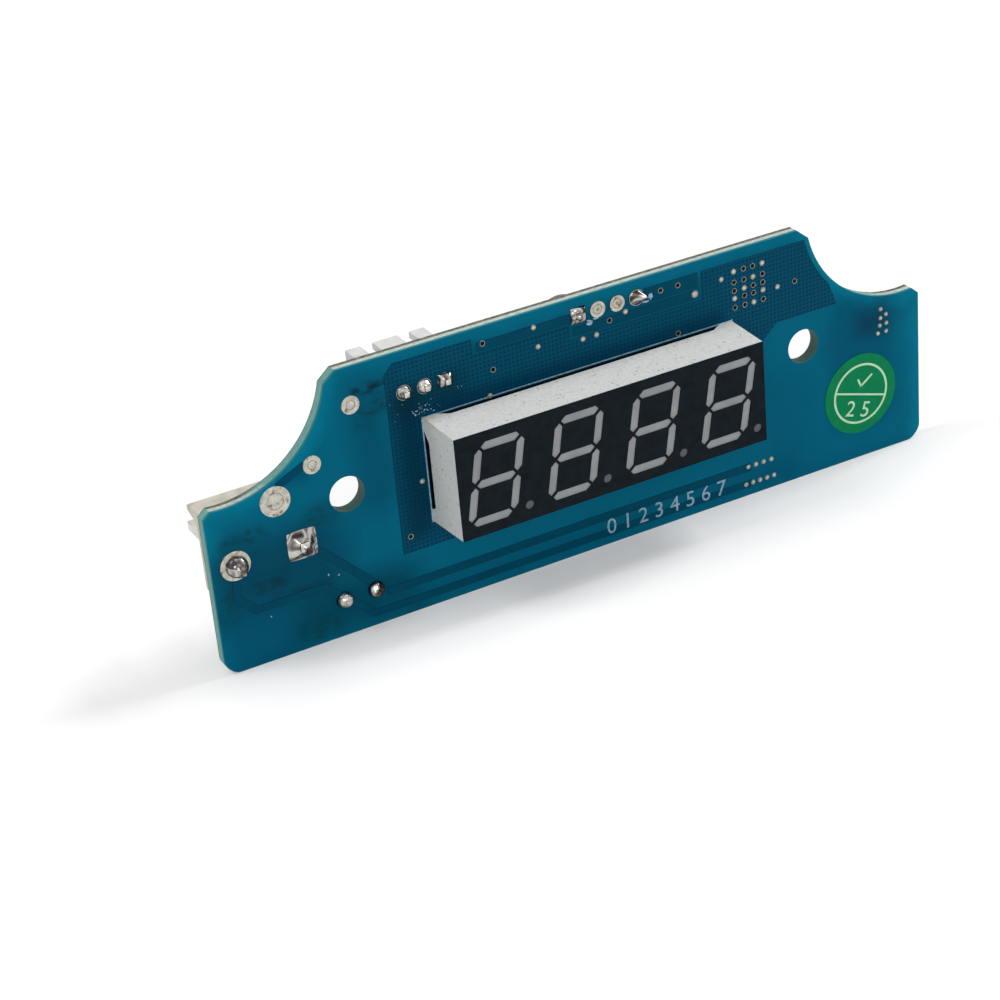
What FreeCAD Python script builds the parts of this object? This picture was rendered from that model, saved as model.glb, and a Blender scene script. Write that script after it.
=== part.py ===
import FreeCAD, Part
import math
import os
import re
import Sketcher

# A four-digit rpm display: a circuit board that stands upright behind a panel window,
# held by two holes, with its LED display on the front and its circuit on the back.
# Millimetres. +X along the board, +Z up, the digits face -Y. The origin is midway
# between the two mounting holes, on the front face of the board.

SIZES = {
    # Circuit board
    "board_width": 93.5,
    "board_above": 14.7,
    "board_below": 17.1,
    "board_thickness": 1.6,
    "notch_radius": 13.55,
    "notch_inset": 2.35,
    "notch_height": 16.4,
    "top_corner": 1.3,
    "ear_corner": 0.9,
    "bottom_corner": 1.2,
    "mount_spacing": 60.0,
    "mount_bore": 4.2,
    # LED display
    "display_drop": 0.2,
    "display_height": 12.8,
    "display_depth": 6.9,
    "draft_angle": 1.7,
    "face_layer": 0.15,
    "foot_height": 0.6,
    "foot_length": 1.9,
    "foot_flare": 0.45,
    "display_wall": 0.9,
    "led_board_thickness": 0.8,
    "backfill": 0.6,
    "die_side": 0.32,
    "die_height": 0.2,
    # Digits
    "digit_count": 4,
    "digit_pitch": 10.05,
    "digit_shift": -0.1,
    "bar_side": 2.64,
    "bar_level": 4.46,
    "bar_thickness": 1.02,
    "bar_gap": 0.2,
    "slant": 0.19,
    "dot_side": 3.78,
    "dot_drop": 4.37,
    "dot_radius": 0.55,
    # Display pins
    "grid": 2.54,
    "row_count": 6,
    "row_spacing": 10.16,
    "display_pin": 0.5,
    "display_pin_bore": 0.8,
    "display_pin_reach": 1.3,
    "display_pad_radius": 0.54,
    # Power header, three places with the middle pin left out
    "power_inset": 6.79,
    "power_z": -4.13,
    "power_pitch": 3.96,
    "power_pin": 1.14,
    "power_pin_reach": 10.5,
    "power_bore": 1.8,
    "power_tail": 1.1,
    "power_base": 3.2,
    "power_under": 4.4,
    "power_over": 5.28,
    "power_wall": 1.35,
    "power_wall_height": 5.4,
    "power_hook": 0.5,
    "power_end": 1.95,
    "power_pad_radius": 1.9,
    "power_dome_radius": 1.35,
    "power_dome_height": 1.7,
    "power_square_pad": 3.6,
    "power_peak_height": 1.75,
    "power_peak": 1.6,
    "pad_layer": 0.08,
    # Signal header, three pins
    "signal_x": -19.46,
    "signal_z": 9.83,
    "signal_count": 3,
    "signal_pin": 0.64,
    "signal_pin_reach": 6.4,
    "signal_bore": 1.0,
    "signal_tail": 1.0,
    "signal_height": 7.5,
    "signal_floor": 1.4,
    "signal_end": 2.36,
    "signal_over": 2.4,
    "signal_under": 3.35,
    "signal_wall": 0.85,
    "signal_slot": 1.45,
    "signal_slot_place": 2.3,
    "signal_slot_depth": 4.2,
    "signal_pad_radius": 0.9,
    # Programming row of four tinned holes, and three spare tinned holes
    "program_x": 0.15,
    "program_z": 12.58,
    "program_count": 4,
    "program_pad_radius": 1.0,
    "program_bore": 0.9,
    "program_cone": 1.3,
    "program_lump": 0.5,
    "spare_small_radius": 1.1,
    "spare_small_bore": 1.0,
    "spare_large_radius": 1.8,
    "spare_large_bore": 1.8,
    "spare_upper_x": -28.37,
    "spare_upper_z": 10.27,
    "spare_middle_x": -33.65,
    "spare_middle_z": 4.76,
    "spare_lower_x": -38.4,
    "spare_lower_z": 1.87,
    # Radial capacitor across the power input
    "radial_x": -29.94,
    "radial_z": -12.56,
    "radial_lead_spacing": 3.9,
    "radial_lead": 0.6,
    "radial_bore": 0.9,
    "radial_radius": 4.0,
    "radial_height": 11.5,
    "radial_sleeve": 0.15,
    "radial_seal": 2.0,
    "radial_pad_radius": 1.0,
    "radial_ball": 1.15,
    # Surface capacitor behind the top edge
    "surface_x": 2.0,
    "surface_z": 8.75,
    "surface_radius": 3.15,
    "surface_height": 6.5,
    "surface_base": 6.6,
    "surface_base_thickness": 0.9,
    "surface_terminal": 0.9,
    # Voltage regulator with its heat tab up
    "regulator_x": 23.3,
    "regulator_z": 9.4,
    "regulator_width": 6.5,
    "regulator_length": 6.1,
    "regulator_thickness": 2.3,
    "regulator_tab_width": 5.3,
    "regulator_tab": 1.0,
    "regulator_slug": 0.5,
    "regulator_lead": 0.75,
    "regulator_lead_pitch": 2.286,
    "regulator_reach": 2.7,
    # Microcontroller, eight leads a side
    "micro_x": -13.6,
    "micro_z": -1.0,
    "micro_side": 7.0,
    "micro_thickness": 1.4,
    "micro_row": 8,
    "micro_pitch": 0.8,
    "micro_lead": 0.36,
    # Display driver, eight leads on two sides
    "driver_x": 14.6,
    "driver_z": -1.0,
    "driver_length": 9.9,
    "driver_width": 3.9,
    "driver_thickness": 1.5,
    "driver_row": 8,
    "driver_pitch": 1.27,
    "driver_lead": 0.42,
    "lead_reach": 1.0,
    "lead_sheet": 0.16,
    "lead_foot": 0.55,
    "chip_standoff": 0.12,
    # Chip resistors, chip capacitors and digit transistors
    "chip_length": 2.0,
    "chip_width": 1.25,
    "chip_end": 0.38,
    "resistor_height": 0.55,
    "resistor_count": 8,
    "resistor_x": -8.89,
    "resistor_z": -9.6,
    "capacitor_height": 0.85,
    "capacitor_count": 4,
    "capacitor_pitch": 3.0,
    "capacitor_x": -22.0,
    "capacitor_z": -9.6,
    "transistor_count": 4,
    "transistor_pitch": 6.0,
    "transistor_x": -9.0,
    "transistor_z": -13.9,
    "transistor_length": 2.9,
    "transistor_width": 1.3,
    "transistor_thickness": 1.0,
    "transistor_lead_pitch": 1.9,
    "transistor_lead": 0.42,
    # Input diode
    "diode_x": -29.9,
    "diode_z": -6.4,
    "diode_length": 4.3,
    "diode_width": 2.6,
    "diode_thickness": 2.1,
    "diode_strap": 1.5,
    "diode_strap_sheet": 0.2,
    # Inspection sticker
    "sticker_inset": 8.75,
    "sticker_z": -8.6,
    "sticker_radius": 5.15,
    "sticker_thickness": 0.1,
}

# Places and sizes that follow from others: the digits fill the display's width,
# and what sits near an end of the board keeps its distance from that end
FOLLOWING = {
    "display_width": "(digit_count * digit_pitch)",
    "display_recess_width": "(digit_count * digit_pitch - 2 * display_wall)",
    "display_recess_height": "(display_height - 2 * display_wall)",
    "reflector_depth": "(display_depth - face_layer)",
    "recess_depth": "(foot_height + led_board_thickness + backfill)",
    "first_digit": "(digit_shift - (digit_count - 1) * digit_pitch / 2)",
    "notch_side": "(board_width / 2 - notch_inset)",
    "power_x": "(power_inset - board_width / 2)",
    "sticker_x": "(board_width / 2 - sticker_inset)",
    "first_pin": "(-(row_count - 1) * grid / 2)",
    "first_signal": "(signal_x - (signal_count - 1) * grid / 2)",
}

doc = FreeCAD.newDocument("rpm_display")
sheet = doc.addObject("Spreadsheet::Sheet", "Sizes")
for row, (alias, value) in enumerate(SIZES.items(), start=1):
    sheet.set("A%d" % row, alias)
    sheet.set("B%d" % row, str(value))
    sheet.setAlias("B%d" % row, alias)
doc.recompute()

nodes = []

# Two places closer than this are the same place
NEAR = 1e-5


# Helpers

def sized(text):
    """A formula in plain size names becomes an expression on the sheet."""
    return re.sub(r"[a-z][a-z0-9_]*", lambda word: sheet_name(word.group(0)), str(text))


def sheet_name(word):
    """A size's cell, or the formula that a following size stands for."""
    if word in FOLLOWING:
        return sized(FOLLOWING[word])
    return "Sizes." + word if word in SIZES else word


def new_body(name, x="0", y="0", z="0"):
    """An empty sub-part whose own origin stands at x, y, z."""
    body = doc.addObject("PartDesign::Body", name)
    body.Label = name
    for axis, formula in zip("xyz", (x, y, z)):
        body.setExpression("Placement.Base." + axis, sized(formula))
    nodes.append(body)
    return body


def origin_part(body, role):
    """One of the body's own origin planes or axes."""
    for item in body.Origin.OriginFeatures:
        if item.Role == role:
            return item
    raise ValueError(role)


def new_sketch(body, name, role, out="0", along="0"):
    """A sketch on an origin plane, moved out along the plane's normal and along
    its own x. On XZ_Plane it draws x and z, and its normal points to the front, -Y."""
    sketch = body.newObject("Sketcher::SketchObject", name)
    sketch.AttachmentSupport = [(origin_part(body, role), "")]
    sketch.MapMode = "FlatFace"
    sketch.setExpression("AttachmentOffset.Base.z", sized(out))
    sketch.setExpression("AttachmentOffset.Base.x", sized(along))
    return sketch


def fix(sketch, kind, geometry, point, value, formula):
    """Ties a point's distance from the origin to a formula."""
    index = sketch.addConstraint(Sketcher.Constraint(kind, -1, 1, geometry, point, value))
    sketch.setExpression("Constraints[%d]" % index, sized(formula))


def polygon(sketch, corners):
    """A closed outline through corners, each a pair of formulas."""
    count = len(corners)
    first = sketch.GeometryCount
    seeds = [FreeCAD.Vector(math.cos(turn), math.sin(turn), 0)
             for turn in [2 * math.pi * i / count for i in range(count)]]
    for i in range(count):
        sketch.addGeometry(Part.LineSegment(seeds[i], seeds[(i + 1) % count]), False)
    for i in range(count):
        sketch.addConstraint(Sketcher.Constraint("Coincident", first + i, 2, first + (i + 1) % count, 1))
    for i, (across, up) in enumerate(corners):
        fix(sketch, "DistanceX", first + i, 1, seeds[i].x, across)
        fix(sketch, "DistanceY", first + i, 1, seeds[i].y, up)


def rectangle(sketch, left, low, right, high):
    """An upright rectangle between four formulas."""
    polygon(sketch, [(left, low), (right, low), (right, high), (left, high)])


def circle(sketch, across, up, radius):
    """A circle about a point given by two formulas."""
    index = sketch.addGeometry(Part.Circle(FreeCAD.Vector(1, 1, 0), FreeCAD.Vector(0, 0, 1), 1), False)
    fix(sketch, "DistanceX", index, 3, 1, across)
    fix(sketch, "DistanceY", index, 3, 1, up)
    place = sketch.addConstraint(Sketcher.Constraint("Radius", index, 1))
    sketch.setExpression("Constraints[%d]" % place, sized(radius))


def ring(sketch, across, up, radius, sides=8):
    """A small round outline drawn with few sides, flat side up, because there are many."""
    turns = [2 * math.pi * (i + 0.5) / sides for i in range(sides)]
    polygon(sketch, [("%s + %.5f * (%s)" % (across, math.cos(turn), radius),
                      "%s + %.5f * (%s)" % (up, math.sin(turn), radius)) for turn in turns])


def pad(body, sketch, length, back=False, both=False, taper=None):
    """Adds the outline along its normal, or backwards, or both ways."""
    feature = body.newObject("PartDesign::Pad", sketch.Name + "_pad")
    feature.Profile = sketch
    feature.setExpression("Length", sized(length))
    feature.Reversed = back
    feature.Midplane = both
    if taper:
        feature.setExpression("TaperAngle", sized(taper))
    doc.recompute()
    return feature


def pocket(body, sketch, depth, back=False, both=False):
    """Cuts the outline against its normal, or backwards, or both ways."""
    feature = body.newObject("PartDesign::Pocket", sketch.Name + "_cut")
    feature.Profile = sketch
    feature.setExpression("Length", sized(depth))
    feature.Reversed = back
    feature.Midplane = both
    doc.recompute()
    return feature


def revolve(body, sketch):
    """Turns the outline about the sketch's upright axis."""
    feature = body.newObject("PartDesign::Revolution", sketch.Name + "_turn")
    feature.Profile = sketch
    feature.ReferenceAxis = (sketch, ["V_Axis"])
    feature.Angle = 360
    doc.recompute()
    return feature


def repeat(body, features, sketch, axis, count, pitch):
    """A straight row of copies along a sketch axis."""
    feature = body.newObject("PartDesign::LinearPattern", sketch.Name + "_row")
    feature.Originals = features
    feature.Direction = (sketch, [axis])
    feature.setExpression("Length", sized("(%s - 1) * (%s)" % (count, pitch)))
    feature.setExpression("Occurrences", sized(count))
    body.Tip = feature
    doc.recompute()
    return feature


def bevel(body, base, size, wanted):
    """Chamfers the edges of base that the wanted test picks."""
    names = ["Edge%d" % (i + 1) for i, edge in enumerate(base.Shape.Edges) if wanted(edge)]
    feature = body.newObject("PartDesign::Chamfer", base.Name + "_bevel")
    feature.Base = (base, names)
    feature.setExpression("Size", sized(size))
    doc.recompute()
    return feature


def heap(body, base, height, inset, rear=False):
    """Slopes the sides of the pad that stands out furthest, to the front or to the
    rear: its outer face shrinks by inset over height."""
    box = base.Shape.BoundBox
    outer = box.YMax if rear else box.YMin
    names = ["Edge%d" % (i + 1) for i, edge in enumerate(base.Shape.Edges)
             if abs(edge.CenterOfMass.y - outer) < NEAR]
    feature = body.newObject("PartDesign::Chamfer", base.Name + "_heap")
    feature.Base = (base, names)
    feature.ChamferType = "Two distances"
    feature.setExpression("Size", sized(height))
    feature.setExpression("Size2", sized(inset))
    doc.recompute()
    return feature


def runs_along(edge, axis):
    """True for a straight edge along x, y or z of its body."""
    if edge.Curve.TypeId != "Part::GeomLine":
        return False
    direction = edge.tangentAt(edge.FirstParameter)
    return abs(getattr(direction, axis)) > 1 - NEAR


# Circuit board: laminate with two concave upper corners that clear the panel's screw posts

def bore_rows():
    """Every row of soldered holes: name, x, z, radius, count and pitch."""
    return [
        ("pins_above", "first_pin", "row_spacing / 2 - display_drop", "display_pin_bore / 2",
         "row_count", "grid"),
        ("pins_below", "first_pin", "-row_spacing / 2 - display_drop", "display_pin_bore / 2",
         "row_count", "grid"),
        ("signal_bores", "first_signal", "signal_z", "signal_bore / 2", "signal_count", "grid"),
        ("program_bores", "program_x", "program_z", "program_bore / 2", "program_count", "grid"),
        ("power_bores", "power_x - power_pitch", "power_z", "power_bore / 2", "2", "2 * power_pitch"),
        ("radial_bores", "radial_x - radial_lead_spacing / 2", "radial_z", "radial_bore / 2", "2",
         "radial_lead_spacing"),
    ]


def make_circuit_board():
    body = new_body("circuit_board")
    outline = new_sketch(body, "board_outline", "XZ_Plane")
    rectangle(outline, "-board_width / 2", "-board_below", "board_width / 2", "board_above")
    sheet_feature = pad(body, outline, "board_thickness", back=True)
    bevel(body, sheet_feature, "bottom_corner",
          lambda edge: runs_along(edge, "y") and edge.CenterOfMass.z < 0)

    notches = new_sketch(body, "notches", "XZ_Plane")
    for side in ("", "-"):
        circle(notches, side + "notch_side", "notch_height", "notch_radius")
    cut = pocket(body, notches, "3 * board_thickness", both=True)

    middle = sheet.get("board_above") - sheet.get("top_corner")
    ears = bevel(body, cut, "ear_corner",
                 lambda edge: runs_along(edge, "y") and 0 < edge.CenterOfMass.z < middle)
    bevel(body, ears, "top_corner",
          lambda edge: runs_along(edge, "y") and edge.CenterOfMass.z > middle)

    for name, x, z, radius, count, pitch in bore_rows():
        sketch = new_sketch(body, name, "XZ_Plane")
        ring(sketch, x, z, radius)
        bore = pocket(body, sketch, "3 * board_thickness", both=True)
        repeat(body, [bore], sketch, "H_Axis", count, pitch)

    spare = new_sketch(body, "spare_bores", "XZ_Plane")
    for x, z, size in spare_places():
        ring(spare, x, z, size + "_bore / 2")
    pocket(body, spare, "3 * board_thickness", both=True)

    mount = new_sketch(body, "mount_bores", "XZ_Plane")
    for side in ("-", ""):
        circle(mount, side + "mount_spacing / 2", "0", "mount_bore / 2")
    pocket(body, mount, "3 * board_thickness", both=True)


def spare_places():
    """The three tinned holes that hold no lead: x, z and size name."""
    return [
        ("spare_upper_x", "spare_upper_z", "spare_small"),
        ("spare_middle_x", "spare_middle_z", "spare_small"),
        ("spare_lower_x", "spare_lower_z", "spare_large"),
    ]


# LED display: a moulded reflector with slanted light cavities, its black face,
# the clear filling, and the small board that carries the dies and pins

def slanted(across, up):
    """A digit's point, leaning with the digit."""
    return ("%s + slant * (%s)" % (across, up), up)


def digit_bars():
    """The seven bars of one digit: pointed ends, a gap at each meeting."""
    bars = []
    half = "bar_thickness / 2"
    reach = "bar_side - bar_gap"
    for level in ("bar_level", "0", "-bar_level"):
        bars.append([
            slanted("-(%s)" % reach, level),
            slanted("-(%s - %s)" % (reach, half), "%s - %s" % (level, half)),
            slanted("(%s - %s)" % (reach, half), "%s - %s" % (level, half)),
            slanted("(%s)" % reach, level),
            slanted("(%s - %s)" % (reach, half), "%s + %s" % (level, half)),
            slanted("-(%s - %s)" % (reach, half), "%s + %s" % (level, half)),
        ])
    for side in ("-bar_side", "bar_side"):
        for low, high in (("bar_gap", "(bar_level - bar_gap)"), ("-(bar_level - bar_gap)", "-bar_gap")):
            bars.append([
                slanted(side, low),
                slanted("%s + %s" % (side, half), "%s + %s" % (low, half)),
                slanted("%s + %s" % (side, half), "%s - %s" % (high, half)),
                slanted(side, high),
                slanted("%s - %s" % (side, half), "%s - %s" % (high, half)),
                slanted("%s - %s" % (side, half), "%s + %s" % (low, half)),
            ])
    return bars


def digit_sketch(body, name, out):
    """The seven bars of the first digit."""
    sketch = new_sketch(body, name, "XZ_Plane", out, "first_digit")
    for bar in digit_bars():
        polygon(sketch, bar)
    return sketch


def dot_sketch(body, name, out):
    """The first digit's decimal point."""
    sketch = new_sketch(body, name, "XZ_Plane", out, "first_digit")
    ring(sketch, "dot_side", "-dot_drop", "dot_radius", sides=12)
    return sketch


def display_body(name):
    """A piece of the display, about the display's own middle."""
    return new_body(name, z="-display_drop")


def recess_outline(body, name, out="0"):
    """The space inside the walls, which the small board and the filling fit."""
    sketch = new_sketch(body, name, "XZ_Plane", out)
    rectangle(sketch, "-display_recess_width / 2", "-display_recess_height / 2",
              "display_recess_width / 2", "display_recess_height / 2")
    return sketch


def make_display_housing():
    body = display_body("display_housing")
    outline = new_sketch(body, "housing_outline", "XZ_Plane")
    rectangle(outline, "-display_width / 2", "-display_height / 2", "display_width / 2", "display_height / 2")
    pad(body, outline, "reflector_depth", taper="-draft_angle")
    pocket(body, recess_outline(body, "housing_recess"), "recess_depth", back=True)

    # Gaps between the corner feet: first along the long walls, then along the short ones
    for name, plane, half, through in (("long_gap", "XY_Plane", "display_width / 2", "2 * display_height"),
                                       ("short_gap", "YZ_Plane", "display_height / 2", "2 * display_width")):
        gap = new_sketch(body, name, plane)
        inner = "(%s - foot_length)" % half
        outer = "(%s - foot_length + foot_flare)" % half
        corners = [("-" + outer, "0"), (outer, "0"), (inner, "-foot_height"), ("-" + inner, "-foot_height")]
        if plane == "YZ_Plane":
            corners = [(up, across) for across, up in corners]
        polygon(gap, corners)
        pocket(body, gap, through, both=True)

    for sketch in light_cavities(body, "cavity", "reflector_depth"):
        cavity = pocket(body, sketch, "reflector_depth - recess_depth")
        repeat(body, [cavity], sketch, "H_Axis", "digit_count", "digit_pitch")


def light_cavities(body, name, out):
    """The outlines of the first digit's bars and of its point."""
    return [digit_sketch(body, name, out), dot_sketch(body, "dot_" + name, out)]


def face_half(size):
    """Half the width or height of the housing where its front face is."""
    return "(%s / 2 - reflector_depth * tan(draft_angle))" % size


def make_display_face():
    body = display_body("display_face")
    outline = new_sketch(body, "face_outline", "XZ_Plane", "reflector_depth")
    half_width = face_half("display_width")
    half_height = face_half("display_height")
    rectangle(outline, "-" + half_width, "-" + half_height, half_width, half_height)
    pad(body, outline, "face_layer")
    for sketch in light_cavities(body, "window", "display_depth"):
        window = pocket(body, sketch, "face_layer")
        repeat(body, [window], sketch, "H_Axis", "digit_count", "digit_pitch")


def die_places():
    """Where the light sources stand: the middle of each bar, and the dot."""
    places = [slanted("0", level) for level in ("bar_level", "0", "-bar_level")]
    for side in ("-bar_side", "bar_side"):
        places.append(slanted(side, "bar_level / 2"))
        places.append(slanted(side, "-bar_level / 2"))
    places.append(("dot_side", "-dot_drop"))
    return places


def die_sketch(body, name):
    """The first digit's dies, on the front of the small board."""
    sketch = new_sketch(body, name, "XZ_Plane", "foot_height + led_board_thickness", "first_digit")
    for across, up in die_places():
        rectangle(sketch, "%s - die_side / 2" % across, "%s - die_side / 2" % up,
                  "%s + die_side / 2" % across, "%s + die_side / 2" % up)
    return sketch


def make_display_filling():
    body = display_body("display_filling")
    pad(body, recess_outline(body, "slab", "foot_height + led_board_thickness"), "backfill")
    for sketch in light_cavities(body, "prism", "reflector_depth"):
        prism = pad(body, sketch, "reflector_depth - recess_depth", back=True)
        repeat(body, [prism], sketch, "H_Axis", "digit_count", "digit_pitch")
    seat = die_sketch(body, "die_seat")
    seat_cut = pocket(body, seat, "die_height", back=True)
    repeat(body, [seat_cut], seat, "H_Axis", "digit_count", "digit_pitch")


def make_led_dies():
    body = display_body("led_dies")
    dies = die_sketch(body, "die")
    block = pad(body, dies, "die_height")
    repeat(body, [block], dies, "H_Axis", "digit_count", "digit_pitch")


def make_led_board():
    body = display_body("led_board")
    pad(body, recess_outline(body, "led_board_outline", "foot_height"), "led_board_thickness")
    sockets = new_sketch(body, "pin_sockets", "XZ_Plane")
    for row in ("row_spacing / 2", "-row_spacing / 2"):
        rectangle(sockets, "first_pin - display_pin / 2", "%s - display_pin / 2" % row,
                  "first_pin + display_pin / 2", "%s + display_pin / 2" % row)
    socket = pocket(body, sockets, "4 * foot_height + 4 * led_board_thickness", both=True)
    repeat(body, [socket], sockets, "H_Axis", "row_count", "grid")


def make_display_pins(name, level):
    body = new_body(name, "first_pin", "0", "%s - display_drop" % level)
    section = new_sketch(body, name + "_section", "XZ_Plane", "foot_height + led_board_thickness")
    rectangle(section, "-display_pin / 2", "-display_pin / 2", "display_pin / 2", "display_pin / 2")
    length = "foot_height + led_board_thickness + board_thickness + display_pin_reach"
    pin = pad(body, section, length, back=True)
    repeat(body, [pin], section, "H_Axis", "row_count", "grid")


# Soldered joints: each fills its plated hole round the pin and wets the pad

def filled_hole(body, name, bore):
    """The solder inside a plated hole of the board."""
    barrel = new_sketch(body, name + "_barrel", "XZ_Plane")
    ring(barrel, "0", "0", bore)
    return pad(body, barrel, "board_thickness", back=True)


def clear_pin(body, name, width, along="0"):
    """Takes a pin's own square section out of its joint."""
    section = new_sketch(body, name + "_pin", "XZ_Plane", along=along)
    rectangle(section, "-%s / 2" % width, "-%s / 2" % width, "%s / 2" % width, "%s / 2" % width)
    return section, pocket(body, section, "6 * board_thickness", both=True)


def make_pin_joints(name, x, z, bore, pad_radius, width, height, count, pitch, rear=False):
    """A row of like joints, each a cone round a square pin that comes through it.
    They stand on the front of the board, or on the back when rear is set."""
    body = new_body(name, x, "0", z)
    filled = filled_hole(body, name, bore)
    foot = new_sketch(body, name + "_foot", "XZ_Plane", "-board_thickness" if rear else "0")
    ring(foot, "0", "0", pad_radius)
    land = pad(body, foot, height, back=rear)
    cone = heap(body, land, "%s - pad_layer" % height, "%s - 0.75 * %s" % (pad_radius, width), rear)
    section, hole = clear_pin(body, name, width)
    repeat(body, [filled, land, cone, hole], section, "H_Axis", count, pitch)
    return body


def make_signal_joints():
    """Two joints on round pads, and the last one on a square pad."""
    body = make_pin_joints("signal_joints", "first_signal", "signal_z", "signal_bore / 2",
                           "signal_pad_radius", "signal_pin", "signal_tail", "signal_count", "grid")
    last = "(signal_count - 1) * grid"
    square = new_sketch(body, "signal_square", "XZ_Plane", along=last)
    rectangle(square, "-signal_pad_radius", "-signal_pad_radius", "signal_pad_radius", "signal_pad_radius")
    pad(body, square, "pad_layer")
    clear_pin(body, "signal_square", "signal_pin", along=last)


# Power header: a thick base with a tall friction lock along its upper side

def make_power_header():
    body = new_body("power_header_shell", "power_x", "board_thickness", "power_z")
    side = new_sketch(body, "power_side", "YZ_Plane")
    polygon(side, [
        ("0", "-power_under"),
        ("power_base - 0.4 * power_hook", "-power_under"),
        ("power_base", "-power_under + 0.6 * power_hook"),
        ("power_base", "power_over - power_wall - power_hook"),
        ("power_base + 1.6 * power_hook", "power_over - power_wall"),
        ("power_wall_height - 2.4 * power_hook", "power_over - power_wall"),
        ("power_wall_height + 0.6 * power_hook", "power_over - power_wall + power_hook"),
        ("power_wall_height + 0.3 * power_hook", "power_over - 0.4 * power_hook"),
        ("power_wall_height - 0.6 * power_hook", "power_over"),
        ("0", "power_over"),
    ])
    pad(body, side, "2 * power_pitch + 2 * power_end", both=True)

    # Shallow keys along the lower side, one between each two places
    keys = new_sketch(body, "power_keys", "XZ_Plane")
    for middle in ("-power_pitch / 2", "power_pitch / 2"):
        polygon(keys, [
            ("%s - power_hook" % middle, "-power_under - power_hook / 2"),
            ("%s + power_hook" % middle, "-power_under - power_hook / 2"),
            ("%s + power_hook / 2" % middle, "-power_under + power_hook"),
            ("%s - power_hook / 2" % middle, "-power_under + power_hook"),
        ])
    pocket(body, keys, "4 * power_wall_height", both=True)

    places = new_sketch(body, "power_places", "XZ_Plane")
    for middle in ("-power_pitch", "0", "power_pitch"):
        rectangle(places, "%s - power_pin / 2" % middle, "-power_pin / 2",
                  "%s + power_pin / 2" % middle, "power_pin / 2")
    pocket(body, places, "4 * power_wall_height", both=True)


def make_power_pins():
    body = new_body("power_pins", "power_x - power_pitch", "board_thickness", "power_z")
    section = new_sketch(body, "power_pin_section", "XZ_Plane", "board_thickness + power_tail")
    rectangle(section, "-power_pin / 2", "-power_pin / 2", "power_pin / 2", "power_pin / 2")
    shaft = pad(body, section, "board_thickness + power_tail + power_pin_reach", back=True)
    tip = sheet.get("power_pin_reach")
    ends = bevel(body, shaft, "power_pin / 4",
                 lambda edge: abs(edge.CenterOfMass.y - tip) < NEAR)
    repeat(body, [shaft, ends], section, "H_Axis", "2", "2 * power_pitch")


def make_power_joint_round():
    """A large pad with a shining dome of solder that covers the pin's end."""
    name = "power_joint_round"
    body = new_body(name, "power_x - power_pitch", "0", "power_z")
    section = new_sketch(body, name + "_section", "XY_Plane")
    polygon(section, [
        ("0", "0"),
        ("power_pad_radius", "0"),
        ("power_pad_radius", "-pad_layer"),
        ("power_dome_radius", "-2 * pad_layer"),
        ("power_dome_radius * 0.85", "-power_dome_height * 0.62"),
        ("power_dome_radius * 0.42", "-power_dome_height * 0.94"),
        ("0", "-power_dome_height"),
    ])
    revolve(body, section)
    filled_hole(body, name, "power_bore / 2")
    cut_power_pin(body, name)


def make_power_joint_square():
    """A square pad with solder heaped up to a blunt peak."""
    name = "power_joint_square"
    body = new_body(name, "power_x + power_pitch", "0", "power_z")
    filled_hole(body, name, "power_bore / 2")
    land = new_sketch(body, name + "_land", "XZ_Plane")
    half = "power_square_pad / 2"
    rectangle(land, "-" + half, "-" + half, half, half)
    block = pad(body, land, "power_peak_height")
    heap(body, block, "power_peak_height - pad_layer", "power_square_pad / 2 - power_peak / 2")
    cut_power_pin(body, name)


def cut_power_pin(body, name):
    """The pin ends inside its joint."""
    pin = new_sketch(body, name + "_pin", "XZ_Plane", "power_tail")
    rectangle(pin, "-power_pin / 2", "-power_pin / 2", "power_pin / 2", "power_pin / 2")
    pocket(body, pin, "power_tail + 2 * board_thickness")


# Signal header: a boxed shell, open at the back, with two slots in its upper wall

def make_signal_header():
    body = new_body("signal_header_shell", "signal_x", "board_thickness", "signal_z")
    outer_half = "((signal_count - 1) * grid / 2 + signal_end)"
    outline = new_sketch(body, "signal_outline", "XZ_Plane")
    rectangle(outline, "-" + outer_half, "-signal_under", outer_half, "signal_over")
    pad(body, outline, "signal_height", back=True)

    mouth = new_sketch(body, "signal_mouth", "XZ_Plane", "-signal_height")
    rectangle(mouth, "-(%s - signal_wall)" % outer_half, "-(signal_under - signal_wall)",
              "%s - signal_wall" % outer_half, "signal_over - signal_wall")
    pocket(body, mouth, "signal_height - signal_floor", back=True)

    slots = new_sketch(body, "signal_slots", "XZ_Plane", "-signal_height")
    for side in ("-signal_slot_place", "signal_slot_place"):
        rectangle(slots, "%s - signal_slot / 2" % side, "signal_over - 1.5 * signal_wall",
                  "%s + signal_slot / 2" % side, "signal_over + signal_wall")
    pocket(body, slots, "signal_slot_depth", back=True)

    ends = new_sketch(body, "signal_end_slots", "XZ_Plane", "-signal_height")
    rectangle(ends, "-(%s + signal_wall)" % outer_half, "-(signal_under - 2 * signal_wall)",
              "%s + signal_wall" % outer_half, "-(signal_under - 3.2 * signal_wall)")
    pocket(body, ends, "signal_slot_depth / 2", back=True)

    pins = new_sketch(body, "signal_places", "XZ_Plane")
    first = "(first_signal - signal_x)"
    rectangle(pins, "%s - signal_pin / 2" % first, "-signal_pin / 2",
              "%s + signal_pin / 2" % first, "signal_pin / 2")
    place = pocket(body, pins, "4 * signal_height", both=True)
    repeat(body, [place], pins, "H_Axis", "signal_count", "grid")


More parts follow.
